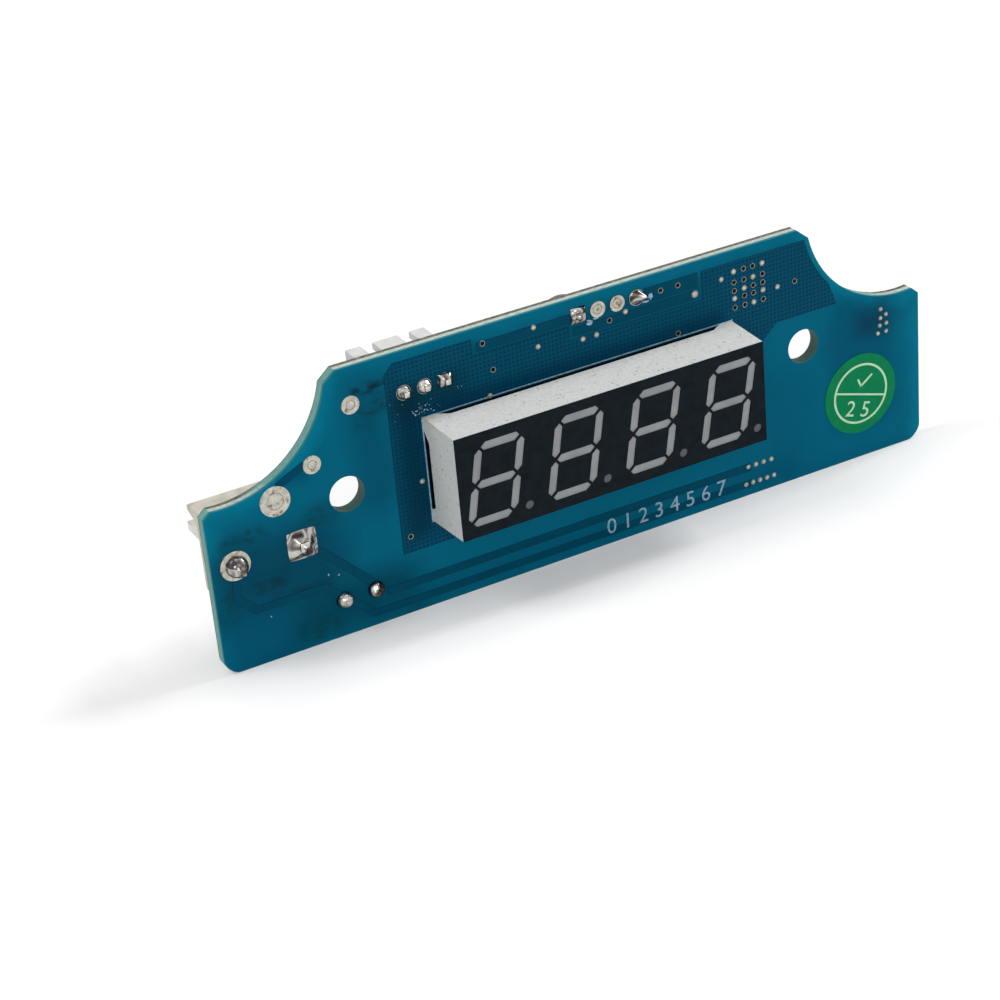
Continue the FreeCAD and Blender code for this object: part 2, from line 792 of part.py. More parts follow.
def make_signal_pins():
    body = new_body("signal_pins", "first_signal", "board_thickness", "signal_z")
    section = new_sketch(body, "signal_pin_section", "XZ_Plane", "board_thickness + signal_tail")
    rectangle(section, "-signal_pin / 2", "-signal_pin / 2", "signal_pin / 2", "signal_pin / 2")
    shaft = pad(body, section, "board_thickness + signal_tail + signal_pin_reach", back=True)
    tip = sheet.get("signal_pin_reach")
    ends = bevel(body, shaft, "signal_pin / 4", lambda edge: abs(edge.CenterOfMass.y - tip) < NEAR)
    repeat(body, [shaft, ends], section, "H_Axis", "signal_count", "grid")


# Tinned holes with no lead in them

def make_program_joints():
    """Four in a row: a lumpy square one, two flat ones and a drawn-out cone."""
    body = new_body("program_joints", "program_x", "0", "program_z")
    radius = "program_pad_radius"
    plug = filled_hole(body, "program", "program_bore / 2")
    repeat(body, [plug], plug.Profile[0], "H_Axis", "program_count", "grid")
    square = new_sketch(body, "program_square", "XZ_Plane")
    rectangle(square, "-" + radius, "-" + radius, radius, radius)
    heap(body, pad(body, square, "program_lump"), "program_lump - pad_layer", "program_lump - pad_layer")
    for number, place in enumerate(("grid", "2 * grid"), start=1):
        flat = new_sketch(body, "program_flat_%d" % number, "XZ_Plane")
        ring(flat, place, "0", radius, sides=12)
        pad(body, flat, "2 * pad_layer")
    foot = new_sketch(body, "program_foot", "XZ_Plane")
    ring(foot, "3 * grid", "0", radius)
    heap(body, pad(body, foot, "program_cone"), "program_cone - pad_layer", "0.85 * " + radius)


def make_spare_pads():
    """Three filled holes, each under a flat tinned ring."""
    body = new_body("spare_pads")
    for number, (x, z, size) in enumerate(spare_places(), start=1):
        name = "spare_%d" % number
        barrel = new_sketch(body, name + "_barrel", "XZ_Plane")
        ring(barrel, x, z, size + "_bore / 2")
        pad(body, barrel, "board_thickness", back=True)
        flat = new_sketch(body, name + "_ring", "XZ_Plane")
        ring(flat, x, z, size + "_radius", sides=12)
        pad(body, flat, "2 * pad_layer")


# Radial capacitor: can, printed sleeve, rubber seal and two wires

def turned(name, x, y, z, outline):
    """A piece turned about an axis along Y."""
    body = new_body(name, x, y, z)
    section = new_sketch(body, name + "_section", "XY_Plane")
    polygon(section, outline)
    revolve(body, section)
    return body


def make_radial_capacitor():
    place = ("radial_x", "board_thickness", "radial_z")
    inner = "(radial_radius - radial_sleeve)"
    turned("radial_capacitor_can", *place, [
        ("0", "radial_seal"),
        (inner, "radial_seal"),
        (inner, "radial_height - 2 * radial_sleeve"),
        (inner + " - 2 * radial_sleeve", "radial_height"),
        ("0", "radial_height"),
    ])
    turned("radial_capacitor_sleeve", *place, [
        (inner, "0"),
        ("radial_radius", "0"),
        ("radial_radius", "radial_height - radial_sleeve"),
        (inner, "radial_height - 2 * radial_sleeve"),
    ])
    seal = turned("radial_capacitor_seal", *place, [
        ("0", "0"),
        (inner, "0"),
        (inner, "radial_seal"),
        ("0", "radial_seal"),
    ])
    holes = new_sketch(seal, "seal_holes", "XZ_Plane")
    for side in ("-radial_lead_spacing / 2", "radial_lead_spacing / 2"):
        ring(holes, side, "0", "radial_lead / 2")
    pocket(seal, holes, "4 * radial_seal", both=True)

    wires = new_body("radial_capacitor_leads", *place)
    ends = new_sketch(wires, "wire_section", "XZ_Plane", "-radial_seal")
    for side in ("-radial_lead_spacing / 2", "radial_lead_spacing / 2"):
        ring(ends, side, "0", "radial_lead / 2")
    pad(wires, ends, "radial_seal + board_thickness + radial_ball / 2")


def make_radial_joints():
    """Two small balls of solder over the ends of the wires."""
    name = "radial_joints"
    body = new_body(name, "radial_x - radial_lead_spacing / 2", "0", "radial_z")
    filled = filled_hole(body, name, "radial_bore / 2")
    foot = new_sketch(body, name + "_foot", "XZ_Plane")
    ring(foot, "0", "0", "radial_pad_radius")
    ball = pad(body, foot, "radial_ball")
    crown = heap(body, ball, "0.5 * radial_ball", "0.5 * radial_pad_radius")
    wire = new_sketch(body, name + "_wire", "XZ_Plane", "radial_ball / 2")
    ring(wire, "0", "0", "radial_lead / 2")
    hole = pocket(body, wire, "radial_ball / 2 + 2 * board_thickness")
    repeat(body, [filled, ball, crown, hole], wire, "H_Axis", "2", "radial_lead_spacing")


# Surface capacitor: a grooved can on a plastic base with two feet

def make_surface_capacitor():
    place = ("surface_x", "board_thickness", "surface_z")
    base = "(surface_base_thickness)"
    turned("surface_capacitor_can", *place, [
        ("0", base),
        ("surface_radius", base),
        ("surface_radius", base + " + 0.12 * surface_height"),
        ("0.93 * surface_radius", base + " + 0.17 * surface_height"),
        ("surface_radius", base + " + 0.22 * surface_height"),
        ("surface_radius", "0.95 * surface_height"),
        ("0.92 * surface_radius", "surface_height"),
        ("0", "surface_height"),
    ])

    plate = new_body("surface_capacitor_base", *place)
    half = "surface_base / 2"
    cut = "0.18 * surface_base"
    outline = new_sketch(plate, "base_outline", "XZ_Plane", "-lead_sheet")
    polygon(outline, [
        ("-" + half, "-" + half),
        (half, "-" + half),
        (half, "%s - %s" % (half, cut)),
        ("%s - %s" % (half, cut), half),
        ("-(%s - %s)" % (half, cut), half),
        ("-" + half, "%s - %s" % (half, cut)),
    ])
    pad(plate, outline, "surface_base_thickness - lead_sheet", back=True)

    feet = new_body("surface_capacitor_feet", *place)
    strips = new_sketch(feet, "strips", "XZ_Plane")
    for side in ("", "-"):
        rectangle(strips, side + "0.15 * surface_base", "-surface_terminal / 2",
                  side + "(%s + 0.25 * surface_terminal)" % half, "surface_terminal / 2")
    pad(feet, strips, "lead_sheet", back=True)


# Voltage regulator: moulded block on a copper plate that ends in the tab

def make_regulator():
    place = ("regulator_x", "board_thickness", "regulator_z")
    half = "regulator_width / 2"
    length = "regulator_length / 2"
    plate = new_body("regulator_tab", *place)
    outline = new_sketch(plate, "tab_outline", "XZ_Plane")
    polygon(outline, [
        ("-regulator_tab_width / 2", "-0.6 * " + length),
        ("regulator_tab_width / 2", "-0.6 * " + length),
        ("regulator_tab_width / 2", length + " + 0.7 * regulator_tab"),
        ("0.8 * regulator_tab_width / 2", length + " + regulator_tab"),
        ("-0.8 * regulator_tab_width / 2", length + " + regulator_tab"),
        ("-regulator_tab_width / 2", length + " + 0.7 * regulator_tab"),
    ])
    pad(plate, outline, "regulator_slug", back=True)

    block = new_body("regulator_body", *place)
    side = new_sketch(block, "regulator_side", "XZ_Plane", "-chip_standoff")
    rectangle(side, "-" + half, "-" + length, half, length)
    pad(block, side, "regulator_thickness - chip_standoff", back=True)
    bed = new_sketch(block, "regulator_bed", "XZ_Plane")
    rectangle(bed, "-regulator_tab_width / 2", "-0.6 * " + length, "regulator_tab_width / 2", "2 * " + length)
    pocket(block, bed, "regulator_slug")
    for name, side_sign in (("left", "-"), ("right", "")):
        slope = new_sketch(block, "slope_" + name, "XY_Plane")
        polygon(slope, [
            (side_sign + half, "regulator_thickness / 2"),
            (side_sign + "1.2 * " + half, "regulator_thickness / 2"),
            (side_sign + "1.2 * " + half, "1.2 * regulator_thickness"),
            (side_sign + "0.94 * " + half, "1.2 * regulator_thickness"),
            (side_sign + "0.96 * " + half, "regulator_thickness"),
        ])
        pocket(block, slope, "3 * regulator_length", both=True)

    legs = new_body("regulator_leads", *place)
    leg = new_sketch(legs, "regulator_leg", "YZ_Plane", "-regulator_lead_pitch")
    gull_wing(leg, length, "regulator_thickness / 2", "regulator_reach", "-1", "regulator_slug")
    strip = pad(legs, leg, "regulator_lead", both=True)
    repeat(legs, [strip], leg, "N_Axis", "2", "2 * regulator_lead_pitch")


def gull_wing(sketch, start, level, reach, side, sheet_thickness, across_first=False):
    """The section of a bent lead: out of the block at a level, down to the board,
    and out again along it. side is 1 or -1."""
    corners = [
        ("%s * (%s)" % (side, start), "%s" % level),
        ("%s * (%s + 0.4 * (%s))" % (side, start, reach), "%s" % level),
        ("%s * (%s + 0.6 * (%s))" % (side, start, reach), sheet_thickness),
        ("%s * (%s + %s)" % (side, start, reach), sheet_thickness),
        ("%s * (%s + %s)" % (side, start, reach), "0"),
        ("%s * (%s + 0.48 * (%s))" % (side, start, reach), "0"),
        ("%s * (%s + 0.28 * (%s))" % (side, start, reach), "%s - %s" % (level, sheet_thickness)),
        ("%s * (%s)" % (side, start), "%s - %s" % (level, sheet_thickness)),
    ]
    if across_first:
        polygon(sketch, corners)
    else:
        polygon(sketch, [(up, across) for across, up in corners])


# Chips in moulded packages with gull-wing leads

def chip_block(name, place, half_width, half_height, thickness):
    """A moulded block whose sides slope a little from the middle."""
    block = new_body(name, *place)
    outline = new_sketch(block, name + "_outline", "XZ_Plane", "-chip_standoff")
    rectangle(outline, "-" + half_width, "-" + half_height, half_width, half_height)
    upper = pad(block, outline, thickness + " - chip_standoff", back=True)
    top = sheet.get(thickness)
    bevel(block, upper, "0.12 * " + thickness, lambda edge: edge.CenterOfMass.y > top - NEAR)
    return block


def make_microcontroller():
    place = ("micro_x", "board_thickness", "micro_z")
    half = "micro_side / 2"
    chip_block("microcontroller", place, half, half, "micro_thickness")
    leads = new_body("microcontroller_leads", *place)
    first = "-(micro_row - 1) * micro_pitch / 2"
    rows = new_sketch(leads, "micro_rows", "YZ_Plane", first)
    for side in ("1", "-1"):
        gull_wing(rows, half, "micro_thickness / 2", "lead_reach", side, "lead_sheet")
    strips = pad(leads, rows, "micro_lead", both=True)
    repeat(leads, [strips], rows, "N_Axis", "micro_row", "micro_pitch")
    columns = new_sketch(leads, "micro_columns", "XY_Plane", first)
    for side in ("1", "-1"):
        gull_wing(columns, half, "micro_thickness / 2", "lead_reach", side, "lead_sheet", across_first=True)
    strips = pad(leads, columns, "micro_lead", both=True)
    repeat(leads, [strips], columns, "N_Axis", "micro_row", "micro_pitch")


def make_driver():
    place = ("driver_x", "board_thickness", "driver_z")
    chip_block("driver_chip", place, "driver_length / 2", "driver_width / 2", "driver_thickness")
    leads = new_body("driver_chip_leads", *place)
    rows = new_sketch(leads, "driver_rows", "YZ_Plane", "-(driver_row - 1) * driver_pitch / 2")
    for side in ("1", "-1"):
        gull_wing(rows, "driver_width / 2", "driver_thickness / 2", "lead_reach", side, "lead_sheet")
    strips = pad(leads, rows, "driver_lead", both=True)
    repeat(leads, [strips], rows, "N_Axis", "driver_row", "driver_pitch")


def make_transistors():
    place = ("transistor_x", "board_thickness", "transistor_z")
    blocks = new_body("digit_transistors", *place)
    outline = new_sketch(blocks, "transistor_outline", "XZ_Plane", "-chip_standoff")
    rectangle(outline, "-transistor_length / 2", "-transistor_width / 2",
              "transistor_length / 2", "transistor_width / 2")
    block = pad(blocks, outline, "transistor_thickness - chip_standoff", back=True)
    repeat(blocks, [block], outline, "H_Axis", "transistor_count", "transistor_pitch")

    leads = new_body("transistor_leads", *place)
    features = []
    for name, out, side in (("lead_low_left", "-transistor_lead_pitch / 2", "-1"),
                            ("lead_low_right", "transistor_lead_pitch / 2", "-1"),
                            ("lead_high", "0", "1")):
        section = new_sketch(leads, name, "YZ_Plane", out)
        gull_wing(section, "transistor_width / 2", "transistor_thickness / 2", "0.6 * lead_reach", side,
                  "lead_sheet")
        features.append(pad(leads, section, "transistor_lead", both=True))
    repeat(leads, features, section, "N_Axis", "transistor_count", "transistor_pitch")


# Small parts with a metal cap at each end

def make_chip_row(name, x, z, height, count, pitch):
    bodies = new_body(name, x, "board_thickness", z)
    middle = "(chip_length / 2 - chip_end)"
    outline = new_sketch(bodies, name + "_outline", "XZ_Plane")
    rectangle(outline, "-chip_width / 2", "-" + middle, "chip_width / 2", middle)
    block = pad(bodies, outline, height, back=True)
    repeat(bodies, [block], outline, "H_Axis", count, pitch)

    caps = new_body(name + "_ends", x, "board_thickness", z)
    ends = new_sketch(caps, name + "_end_outline", "XZ_Plane")
    for side in ("", "-"):
        rectangle(ends, "-chip_width / 2", side + middle, "chip_width / 2", side + "chip_length / 2")
    block = pad(caps, ends, height + " + 0.05 * chip_end", back=True)
    repeat(caps, [block], ends, "H_Axis", count, pitch)


# Input diode: moulded block with a flat strap folded under each end

def make_diode():
    place = ("diode_x", "board_thickness", "diode_z")
    half = "diode_length / 2"
    block = new_body("input_diode", *place)
    side = new_sketch(block, "diode_side", "XY_Plane")
    polygon(side, [
        ("-" + half, "diode_strap_sheet"),
        (half, "diode_strap_sheet"),
        (half, "0.55 * diode_thickness"),
        (half + " - 0.08 * diode_thickness", "diode_thickness"),
        ("-(%s - 0.08 * diode_thickness)" % half, "diode_thickness"),
        ("-" + half, "0.55 * diode_thickness"),
    ])
    pad(block, side, "diode_width", both=True)

    straps = new_body("input_diode_straps", *place)
    section = new_sketch(straps, "strap_section", "XY_Plane")
    for side in ("", "-"):
        polygon(section, [
            (side + "0.55 * " + half, "0"),
            (side + "(%s + diode_strap_sheet)" % half, "0"),
            (side + "(%s + diode_strap_sheet)" % half, "0.5 * diode_thickness"),
            (side + half, "0.5 * diode_thickness"),
            (side + half, "diode_strap_sheet"),
            (side + "0.55 * " + half, "diode_strap_sheet"),
        ])
    pad(straps, section, "diode_strap", both=True)


# Round paper sticker on the front, right of the display

def make_sticker():
    body = new_body("inspection_sticker", "sticker_x", "0", "sticker_z")
    outline = new_sketch(body, "sticker_outline", "XZ_Plane")
    circle(outline, "0", "0", "sticker_radius")
    pad(body, outline, "sticker_thickness")


# Putting it together

def make_all():
    make_circuit_board()
    make_display_housing()
    make_display_face()
    make_display_filling()
    make_led_board()
    make_led_dies()
    for row, level in (("upper", "row_spacing / 2"), ("lower", "-row_spacing / 2")):
        make_display_pins("display_pins_" + row, level)
        make_pin_joints("display_joints_" + row, "first_pin", level + " - display_drop",
                        "display_pin_bore / 2", "display_pad_radius", "display_pin",
                        "0.7 * display_pin_reach", "row_count", "grid", rear=True)
    make_power_header()
    make_power_pins()
    make_power_joint_round()
    make_power_joint_square()
    make_signal_header()
    make_signal_pins()
    make_signal_joints()
    make_program_joints()
    make_spare_pads()
    make_radial_capacitor()
    make_radial_joints()
    make_surface_capacitor()
    make_regulator()
    make_microcontroller()
    make_driver()
    make_transistors()
    make_chip_row("segment_resistors", "resistor_x", "resistor_z", "resistor_height",
                  "resistor_count", "grid")
    make_chip_row("chip_capacitors", "capacitor_x", "capacitor_z", "capacitor_height", "capacitor_count",
                  "capacitor_pitch")
    make_diode()
    make_sticker()


def check_and_write():
    for item in doc.Objects:
        if "Invalid" in item.State or "Error" in item.State:
            raise RuntimeError("%s did not build: %s" % (item.Name, item.State))
    for node in nodes:
        if node.Shape.isNull() or not node.Shape.isValid():
            raise RuntimeError("%s has no valid solid" % node.Label)
    os.makedirs("parts", exist_ok=True)
    for node in nodes:
        node.Shape.exportStep("parts/%s.step" % node.Label)
        print("%-26s %3d solids %9.2f mm3" % (node.Label, len(node.Shape.Solids), node.Shape.Volume))


make_all()
doc.recompute()
check_and_write()
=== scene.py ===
import bmesh
import bpy
import math
from mathutils import Matrix, Vector, noise
from random import Random


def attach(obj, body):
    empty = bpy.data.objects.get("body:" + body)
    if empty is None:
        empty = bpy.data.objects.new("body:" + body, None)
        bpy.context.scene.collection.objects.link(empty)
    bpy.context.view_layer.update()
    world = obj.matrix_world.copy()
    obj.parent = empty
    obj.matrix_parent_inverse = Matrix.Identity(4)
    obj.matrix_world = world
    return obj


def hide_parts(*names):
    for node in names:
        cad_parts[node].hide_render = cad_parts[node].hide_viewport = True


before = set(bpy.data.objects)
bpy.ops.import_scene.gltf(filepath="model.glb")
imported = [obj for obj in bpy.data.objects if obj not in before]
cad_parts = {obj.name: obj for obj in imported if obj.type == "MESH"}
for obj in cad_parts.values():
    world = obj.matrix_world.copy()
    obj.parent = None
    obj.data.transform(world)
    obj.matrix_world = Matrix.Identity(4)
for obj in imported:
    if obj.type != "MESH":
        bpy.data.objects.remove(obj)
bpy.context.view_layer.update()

# Circuit board. The blank is woven glass laminate, routed to shape with two round bites
# out of its upper corners, drilled, and then screen-coated with a glossy blue lacquer.
# The lacquer stops at the rim, so the routed edge shows the pale glass and resin.

MM = 0.001
BOARD = 1.6
BITE_X, BITE_Z, BITE_R = 44.4, 16.4, 13.55
HOLE_X, HOLE_R = 30.0, 2.2


def tone(code):
    """An sRGB hex colour as the linear colour that a shader takes."""
    parts = [int(code[i:i + 2], 16) / 255 for i in (1, 3, 5)]
    return [p / 12.92 if p <= 0.04045 else ((p + 0.055) / 1.055) ** 2.4 for p in parts] + [1]


def add_node(tree, kind, settings, inputs):
    """One node with its own settings, and its inputs, each a value or another node's output."""
    made = tree.nodes.new(kind)
    for name, value in settings.items():
        setattr(made, name, value)
    for place, value in inputs.items():
        if isinstance(value, bpy.types.NodeSocket):
            tree.links.new(value, made.inputs[place])
        else:
            made.inputs[place].default_value = value
    return made.outputs


# One colour laid over another (inputs 0 share, 6 under, 7 over; output 2), and a soft step
BLEND = "ShaderNodeMix", {"data_type": "RGBA"}
SOFT_STEP = "ShaderNodeMapRange", {"interpolation_type": "SMOOTHSTEP"}


def new_finish(name, plain):
    """A material with one shader and that shader's plain values."""
    finish = bpy.data.materials.new(name)
    finish.use_nodes = True
    shader = finish.node_tree.nodes["Principled BSDF"]
    for socket, value in plain.items():
        shader.inputs[socket].default_value = value
    return finish, finish.node_tree, shader


def wear_in(tree, shader, dark, pale, size, rough, relief=0.0, stretch=(1, 1, 1)):
    """Mottles a finish between two tones at a grain size in mm, with a spread of
    roughness and a relief in mm that follow the same grain."""
    place = add_node(tree, "ShaderNodeTexCoord", {}, {})["Object"]
    place = add_node(tree, "ShaderNodeMapping", {}, {"Vector": place, "Scale": stretch})[0]
    grain = add_node(tree, "ShaderNodeTexNoise", {},
                     {"Vector": place, "Scale": 1 / (size * MM), "Detail": 5.0, "Roughness": 0.6})[0]
    even = add_node(tree, "ShaderNodeMapRange", {},
                    {"Value": grain, "From Min": 0.3, "From Max": 0.7})[0]
    mixed = add_node(tree, *BLEND, {0: even, 6: tone(dark), 7: tone(pale)})[2]
    tree.links.new(mixed, shader.inputs["Base Color"])
    spread = add_node(tree, "ShaderNodeMapRange", {},
                      {"Value": grain, "From Min": 0.3, "From Max": 0.7,
                       "To Min": rough[0], "To Max": rough[1]})[0]
    tree.links.new(spread, shader.inputs["Roughness"])
    if relief:
        bump = add_node(tree, "ShaderNodeBump", {}, {"Height": grain, "Distance": relief * MM})[0]
        tree.links.new(bump, shader.inputs["Normal"])
    return place, mixed


def patchy(tree, place, size, detail, low, high):
    """Scattered patches of a size in mm: 0 where the grain is under low, 1 where it is over high."""
    grain = add_node(tree, "ShaderNodeTexNoise", {},
                     {"Vector": place, "Scale": 1 / (size * MM), "Detail": detail})[0]
    return add_node(tree, "ShaderNodeMapRange", {},
                    {"Value": grain, "From Min": low, "From Max": high})[0]


def worn(name, plain, *wear):
    """A finish that has no more to it than its wear."""
    finish, tree, shader = new_finish(name, plain)
    wear_in(tree, shader, *wear)
    return finish


def ease(edges, mesh, soft, segments=2):
    """Rounds edges over by a width in mm."""
    bmesh.ops.bevel(mesh, geom=edges, offset=soft, segments=segments, affect="EDGES", profile=0.5,
                    material=-1, clamp_overlap=True)


SHARP = 30  # degrees that two faces turn by where an edge is eased


def from_cad(node, soft=0.0, segments=2):
    """A CAD node in millimetres, its triangles merged to clean faces, its edges eased."""
    mesh = bmesh.new()
    mesh.from_mesh(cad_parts[node].data)
    bmesh.ops.scale(mesh, vec=(1 / MM, 1 / MM, 1 / MM), verts=mesh.verts)
    bmesh.ops.remove_doubles(mesh, verts=mesh.verts, dist=0.002)
    bmesh.ops.dissolve_limit(mesh, angle_limit=math.radians(1), verts=mesh.verts, edges=mesh.edges)
    if soft:
        ease([e for e in mesh.edges if len(e.link_faces) == 2
              and e.calc_face_angle(0) > math.radians(SHARP)], mesh, soft, segments)
    return mesh


def settle(mesh, name, finishes, stands_for=(), crease=35):
    """Makes a bmesh in millimetres into a piece of the object, in metres."""
    bmesh.ops.scale(mesh, vec=(MM, MM, MM), verts=mesh.verts)
    data = bpy.data.meshes.new(name)
    mesh.to_mesh(data)
    mesh.free()
    data.shade_smooth()
    data.set_sharp_from_angle(angle=math.radians(crease))
    for finish in finishes:
        data.materials.append(finish)
    piece = bpy.data.objects.new(name, data)
    bpy.context.scene.collection.objects.link(piece)
    piece.modifiers.new("even_shading", "WEIGHTED_NORMAL").keep_sharp = True
    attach(piece, "root")
    if stands_for:
        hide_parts(*stands_for)


def soft_patch(tree, axes, across, up, wide, tall, blur, share):
    """How far a soft-edged patch of the board's face, placed and sized in mm, covers a spot."""
    cover = share
    for axis, middle, half in (("X", across, wide), ("Z", up, tall)):
        away = add_node(tree, "ShaderNodeMath", {"operation": "SUBTRACT"},
                        {0: axes[axis], 1: middle * MM})[0]
        away = add_node(tree, "ShaderNodeMath", {"operation": "ABSOLUTE"}, {0: away})[0]
        inside = add_node(tree, *SOFT_STEP, {
            "Value": away, "From Min": max(half - blur, 0) * MM, "From Max": (half + blur) * MM,
            "To Min": 1.0, "To Max": 0.0})[0]
        cover = add_node(tree, "ShaderNodeMath", {"operation": "MULTIPLY"}, {0: cover, 1: inside})[0]
    return cover


# Blue lacquer over bare laminate: light goes into the glass below it, so it glows a clear
# teal near the routed edges and turns deeper where copper lies on the far side.
lacquer, tree, shader = new_finish("lacquer_over_laminate", {"IOR": 1.54, "Specular IOR Level": 0.02})
SWAY = 1.5  # mm by which the edge of a shadow or stain strays to each side
where = add_node(tree, "ShaderNodeTexCoord", {}, {})["Object"]
drift = add_node(tree, "ShaderNodeTexNoise", {},
                 {"Vector": where, "Scale": 1 / (4.545 * MM), "Detail": 3.0})["Color"]
bent = add_node(tree, "ShaderNodeVectorMath", {"operation": "MULTIPLY_ADD"},
                {0: drift, 1: (2 * SWAY * MM, 0, 2 * SWAY * MM), 2: where})[0]
bent = add_node(tree, "ShaderNodeVectorMath", {"operation": "SUBTRACT"},
                {0: bent, 1: (SWAY * MM, 0, SWAY * MM)})[0]
axes = add_node(tree, "ShaderNodeSeparateXYZ", {}, {"Vector": bent})
cloud = add_node(tree, "ShaderNodeTexNoise", {},
                 {"Vector": where, "Scale": 1 / (16.67 * MM), "Detail": 4.0})[0]
coat = add_node(tree, *BLEND, {0: cloud, 6: tone("#015770"), 7: tone("#01617b")})[2]
side = add_node(tree, "ShaderNodeMath", {"operation": "ABSOLUTE"}, {0: axes["X"]})[0]
from_bite = add_node(tree, "ShaderNodeCombineXYZ", {}, {"X": side, "Y": axes["Z"]})[0]
ring = add_node(tree, "ShaderNodeVectorMath", {"operation": "DISTANCE"},
                {0: from_bite, 1: (BITE_X * MM, BITE_Z * MM, 0)})["Value"]
glow = 0.0
for span, near, far, most in ((ring, BITE_R, BITE_R + 2.4, 1.0), (axes["Z"], 14.8, 13.0, 0.35),
                              (side, 47.0, 44.2, 1.0)):
    lit = add_node(tree, *SOFT_STEP, {"Value": span, "From Min": near * MM, "From Max": far * MM,
                                      "To Min": most, "To Max": 0.0})[0]
    glow = add_node(tree, "ShaderNodeMath", {"operation": "MAXIMUM"}, {0: glow, 1: lit})[0]
coat = add_node(tree, *BLEND, {0: glow, 6: coat, 7: tone("#016d87")})[2]
# Soft shadows of the copper and the parts on the back: tone, place, half size, blur and share
for shade, *patch in (
        ("#004460", 38.2, -4.5, 4.6, 8.2, 1.6, 0.55), ("#073850", 40.2, 0.5, 2.4, 1.9, 2.0, 0.85),
        ("#004c68", 27.5, -10.0, 3.5, 7.5, 3.0, 0.4), ("#023d53", -39.5, -6.6, 8.4, 5.0, 3.2, 0.85),
        ("#013c50", -30.5, -13.4, 8.0, 3.0, 2.4, 0.8), ("#014862", -43.0, -13.5, 6.0, 5.0, 3.0, 0.6),
        ("#024056", -26.4, 5.0, 2.4, 8.0, 2.4, 0.5), ("#014060", -35.8, 3.9, 1.9, 1.0, 1.0, 0.5),
        ("#01485f", 1.6, 11.2, 15.2, 1.7, 0.5, 0.85), ("#014c66", 0.0, -14.9, 28.0, 1.6, 0.7, 0.45)):
    coat = add_node(tree, *BLEND, {0: soft_patch(tree, axes, *patch), 6: coat, 7: tone(shade)})[2]
# Old flux wiped across the lacquer in dark green-brown streaks: place, half size, blur, share
wiped = add_node(tree, "ShaderNodeMapping", {}, {"Vector": where, "Rotation": (0, math.radians(-30), 0),
                                                 "Scale": (1, 1, 1.9)})[0]
wiped = add_node(tree, "ShaderNodeTexNoise", {}, {"Vector": wiped, "Scale": 1 / (2.632 * MM),
                                                  "Detail": 6.0, "Roughness": 0.55,
                                                  "Distortion": 0.9})[0]
for low, high, stain, patches in (
        (0.37, 0.62, "#0a2a35", (
            (-25.6, 11.5, 2.4, 0.7, 0.7, 1.0), (-23.8, 9.6, 1.6, 0.9, 0.8, 0.9),
            (-36.6, -10.2, 3.4, 0.5, 0.5, 0.8), (-43.0, -1.4, 2.6, 0.9, 0.9, 0.6),
            (-40.2, -7.6, 2.2, 1.3, 1.0, 0.7))),
        (0.36, 0.66, "#063a40", (
            (-26.4, 7.8, 1.8, 1.5, 1.0, 0.8), (-34.6, -15.2, 2.2, 1.7, 1.0, 0.9),
            (-33.6, -1.6, 2.4, 1.2, 1.0, 0.7), (-45.2, -8.6, 1.3, 2.2, 1.0, 0.6)))):
    streak = add_node(tree, "ShaderNodeMapRange", {},
                      {"Value": wiped, "From Min": low, "From Max": high})[0]
    for patch in patches:
        cover = add_node(tree, "ShaderNodeMath", {"operation": "MULTIPLY"},
                         {0: soft_patch(tree, axes, *patch), 1: streak})[0]
        coat = add_node(tree, *BLEND, {0: cover, 6: coat, 7: tone(stain)})[2]
tree.links.new(coat, shader.inputs["Base Color"])
flat = add_node(tree, "ShaderNodeMapping", {},
                {"Vector": where, "Rotation": (math.radians(90), 0, 0)})[0]
# The glass weave shows through as a faint relief, drawn a little coarser than it is
BRICKS = 4.0  # mm that stand for 1 in a brick pattern, whose own sizes have a lower limit
weave = add_node(tree, "ShaderNodeTexBrick", {"offset": 0.5}, {
    "Vector": flat, "Scale": 1 / (BRICKS * MM), "Brick Width": 0.8 / BRICKS, "Row Height": 0.4 / BRICKS,
    "Mortar Size": 0.06 / BRICKS, "Mortar Smooth": 1.0})["Fac"]
relief = add_node(tree, "ShaderNodeBump", {},
                  {"Height": weave, "Distance": 0.004 * MM, "Strength": 0.5})[0]
tree.links.new(relief, shader.inputs["Normal"])
gloss = add_node(tree, "ShaderNodeMapRange", {}, {"Value": cloud, "To Min": 0.2, "To Max": 0.36})[0]
tree.links.new(gloss, shader.inputs["Roughness"])

# Routed laminate: cut glass bundles run along the edge in pale and grey-green streaks. The
# lacquer's blue shines through by the front, and the top is dark with dirt by the back. Faces
# that look up are painted paler, a painted highlight from the lamps above.
edge_cut, tree, shader = new_finish("routed_glass_laminate", {"IOR": 1.55, "Specular IOR Level": 0.15})
where, mixed = wear_in(tree, shader, "#4d7c78", "#76a39b", 0.7, (0.5, 0.75), 0.02, (1, 6, 1))
depth = add_node(tree, "ShaderNodeSeparateXYZ", {},
                 {"Vector": add_node(tree, "ShaderNodeTexCoord", {}, {})["Object"]})["Y"]
facing = add_node(tree, "ShaderNodeSeparateXYZ", {},
                  {"Vector": add_node(tree, "ShaderNodeNewGeometry", {}, {})["True Normal"]})["Z"]
# Faces that look up take a paler tone: a painted highlight on the top edge.
faces_up_lit = add_node(tree, "ShaderNodeMapRange", {},
                  {"Value": facing, "From Min": 0.9, "From Max": 1.0})[0]
fleck = patchy(tree, where, 0.6667, 3.0, 0.4, 0.6)
dirt = add_node(tree, *BLEND, {0: fleck, 6: tone("#2f3227"), 7: tone("#777868")})[2]
lit_top_tone = add_node(tree, *BLEND, {0: fleck, 6: tone("#8f9f98"), 7: tone("#bfc9c3")})[2]
dirty = add_node(tree, *SOFT_STEP, {"Value": depth, "From Min": 0.9 * MM, "From Max": 1.12 * MM})[0]
lit_top_and_dirt = add_node(tree, *BLEND, {0: dirty, 6: lit_top_tone, 7: dirt})[2]
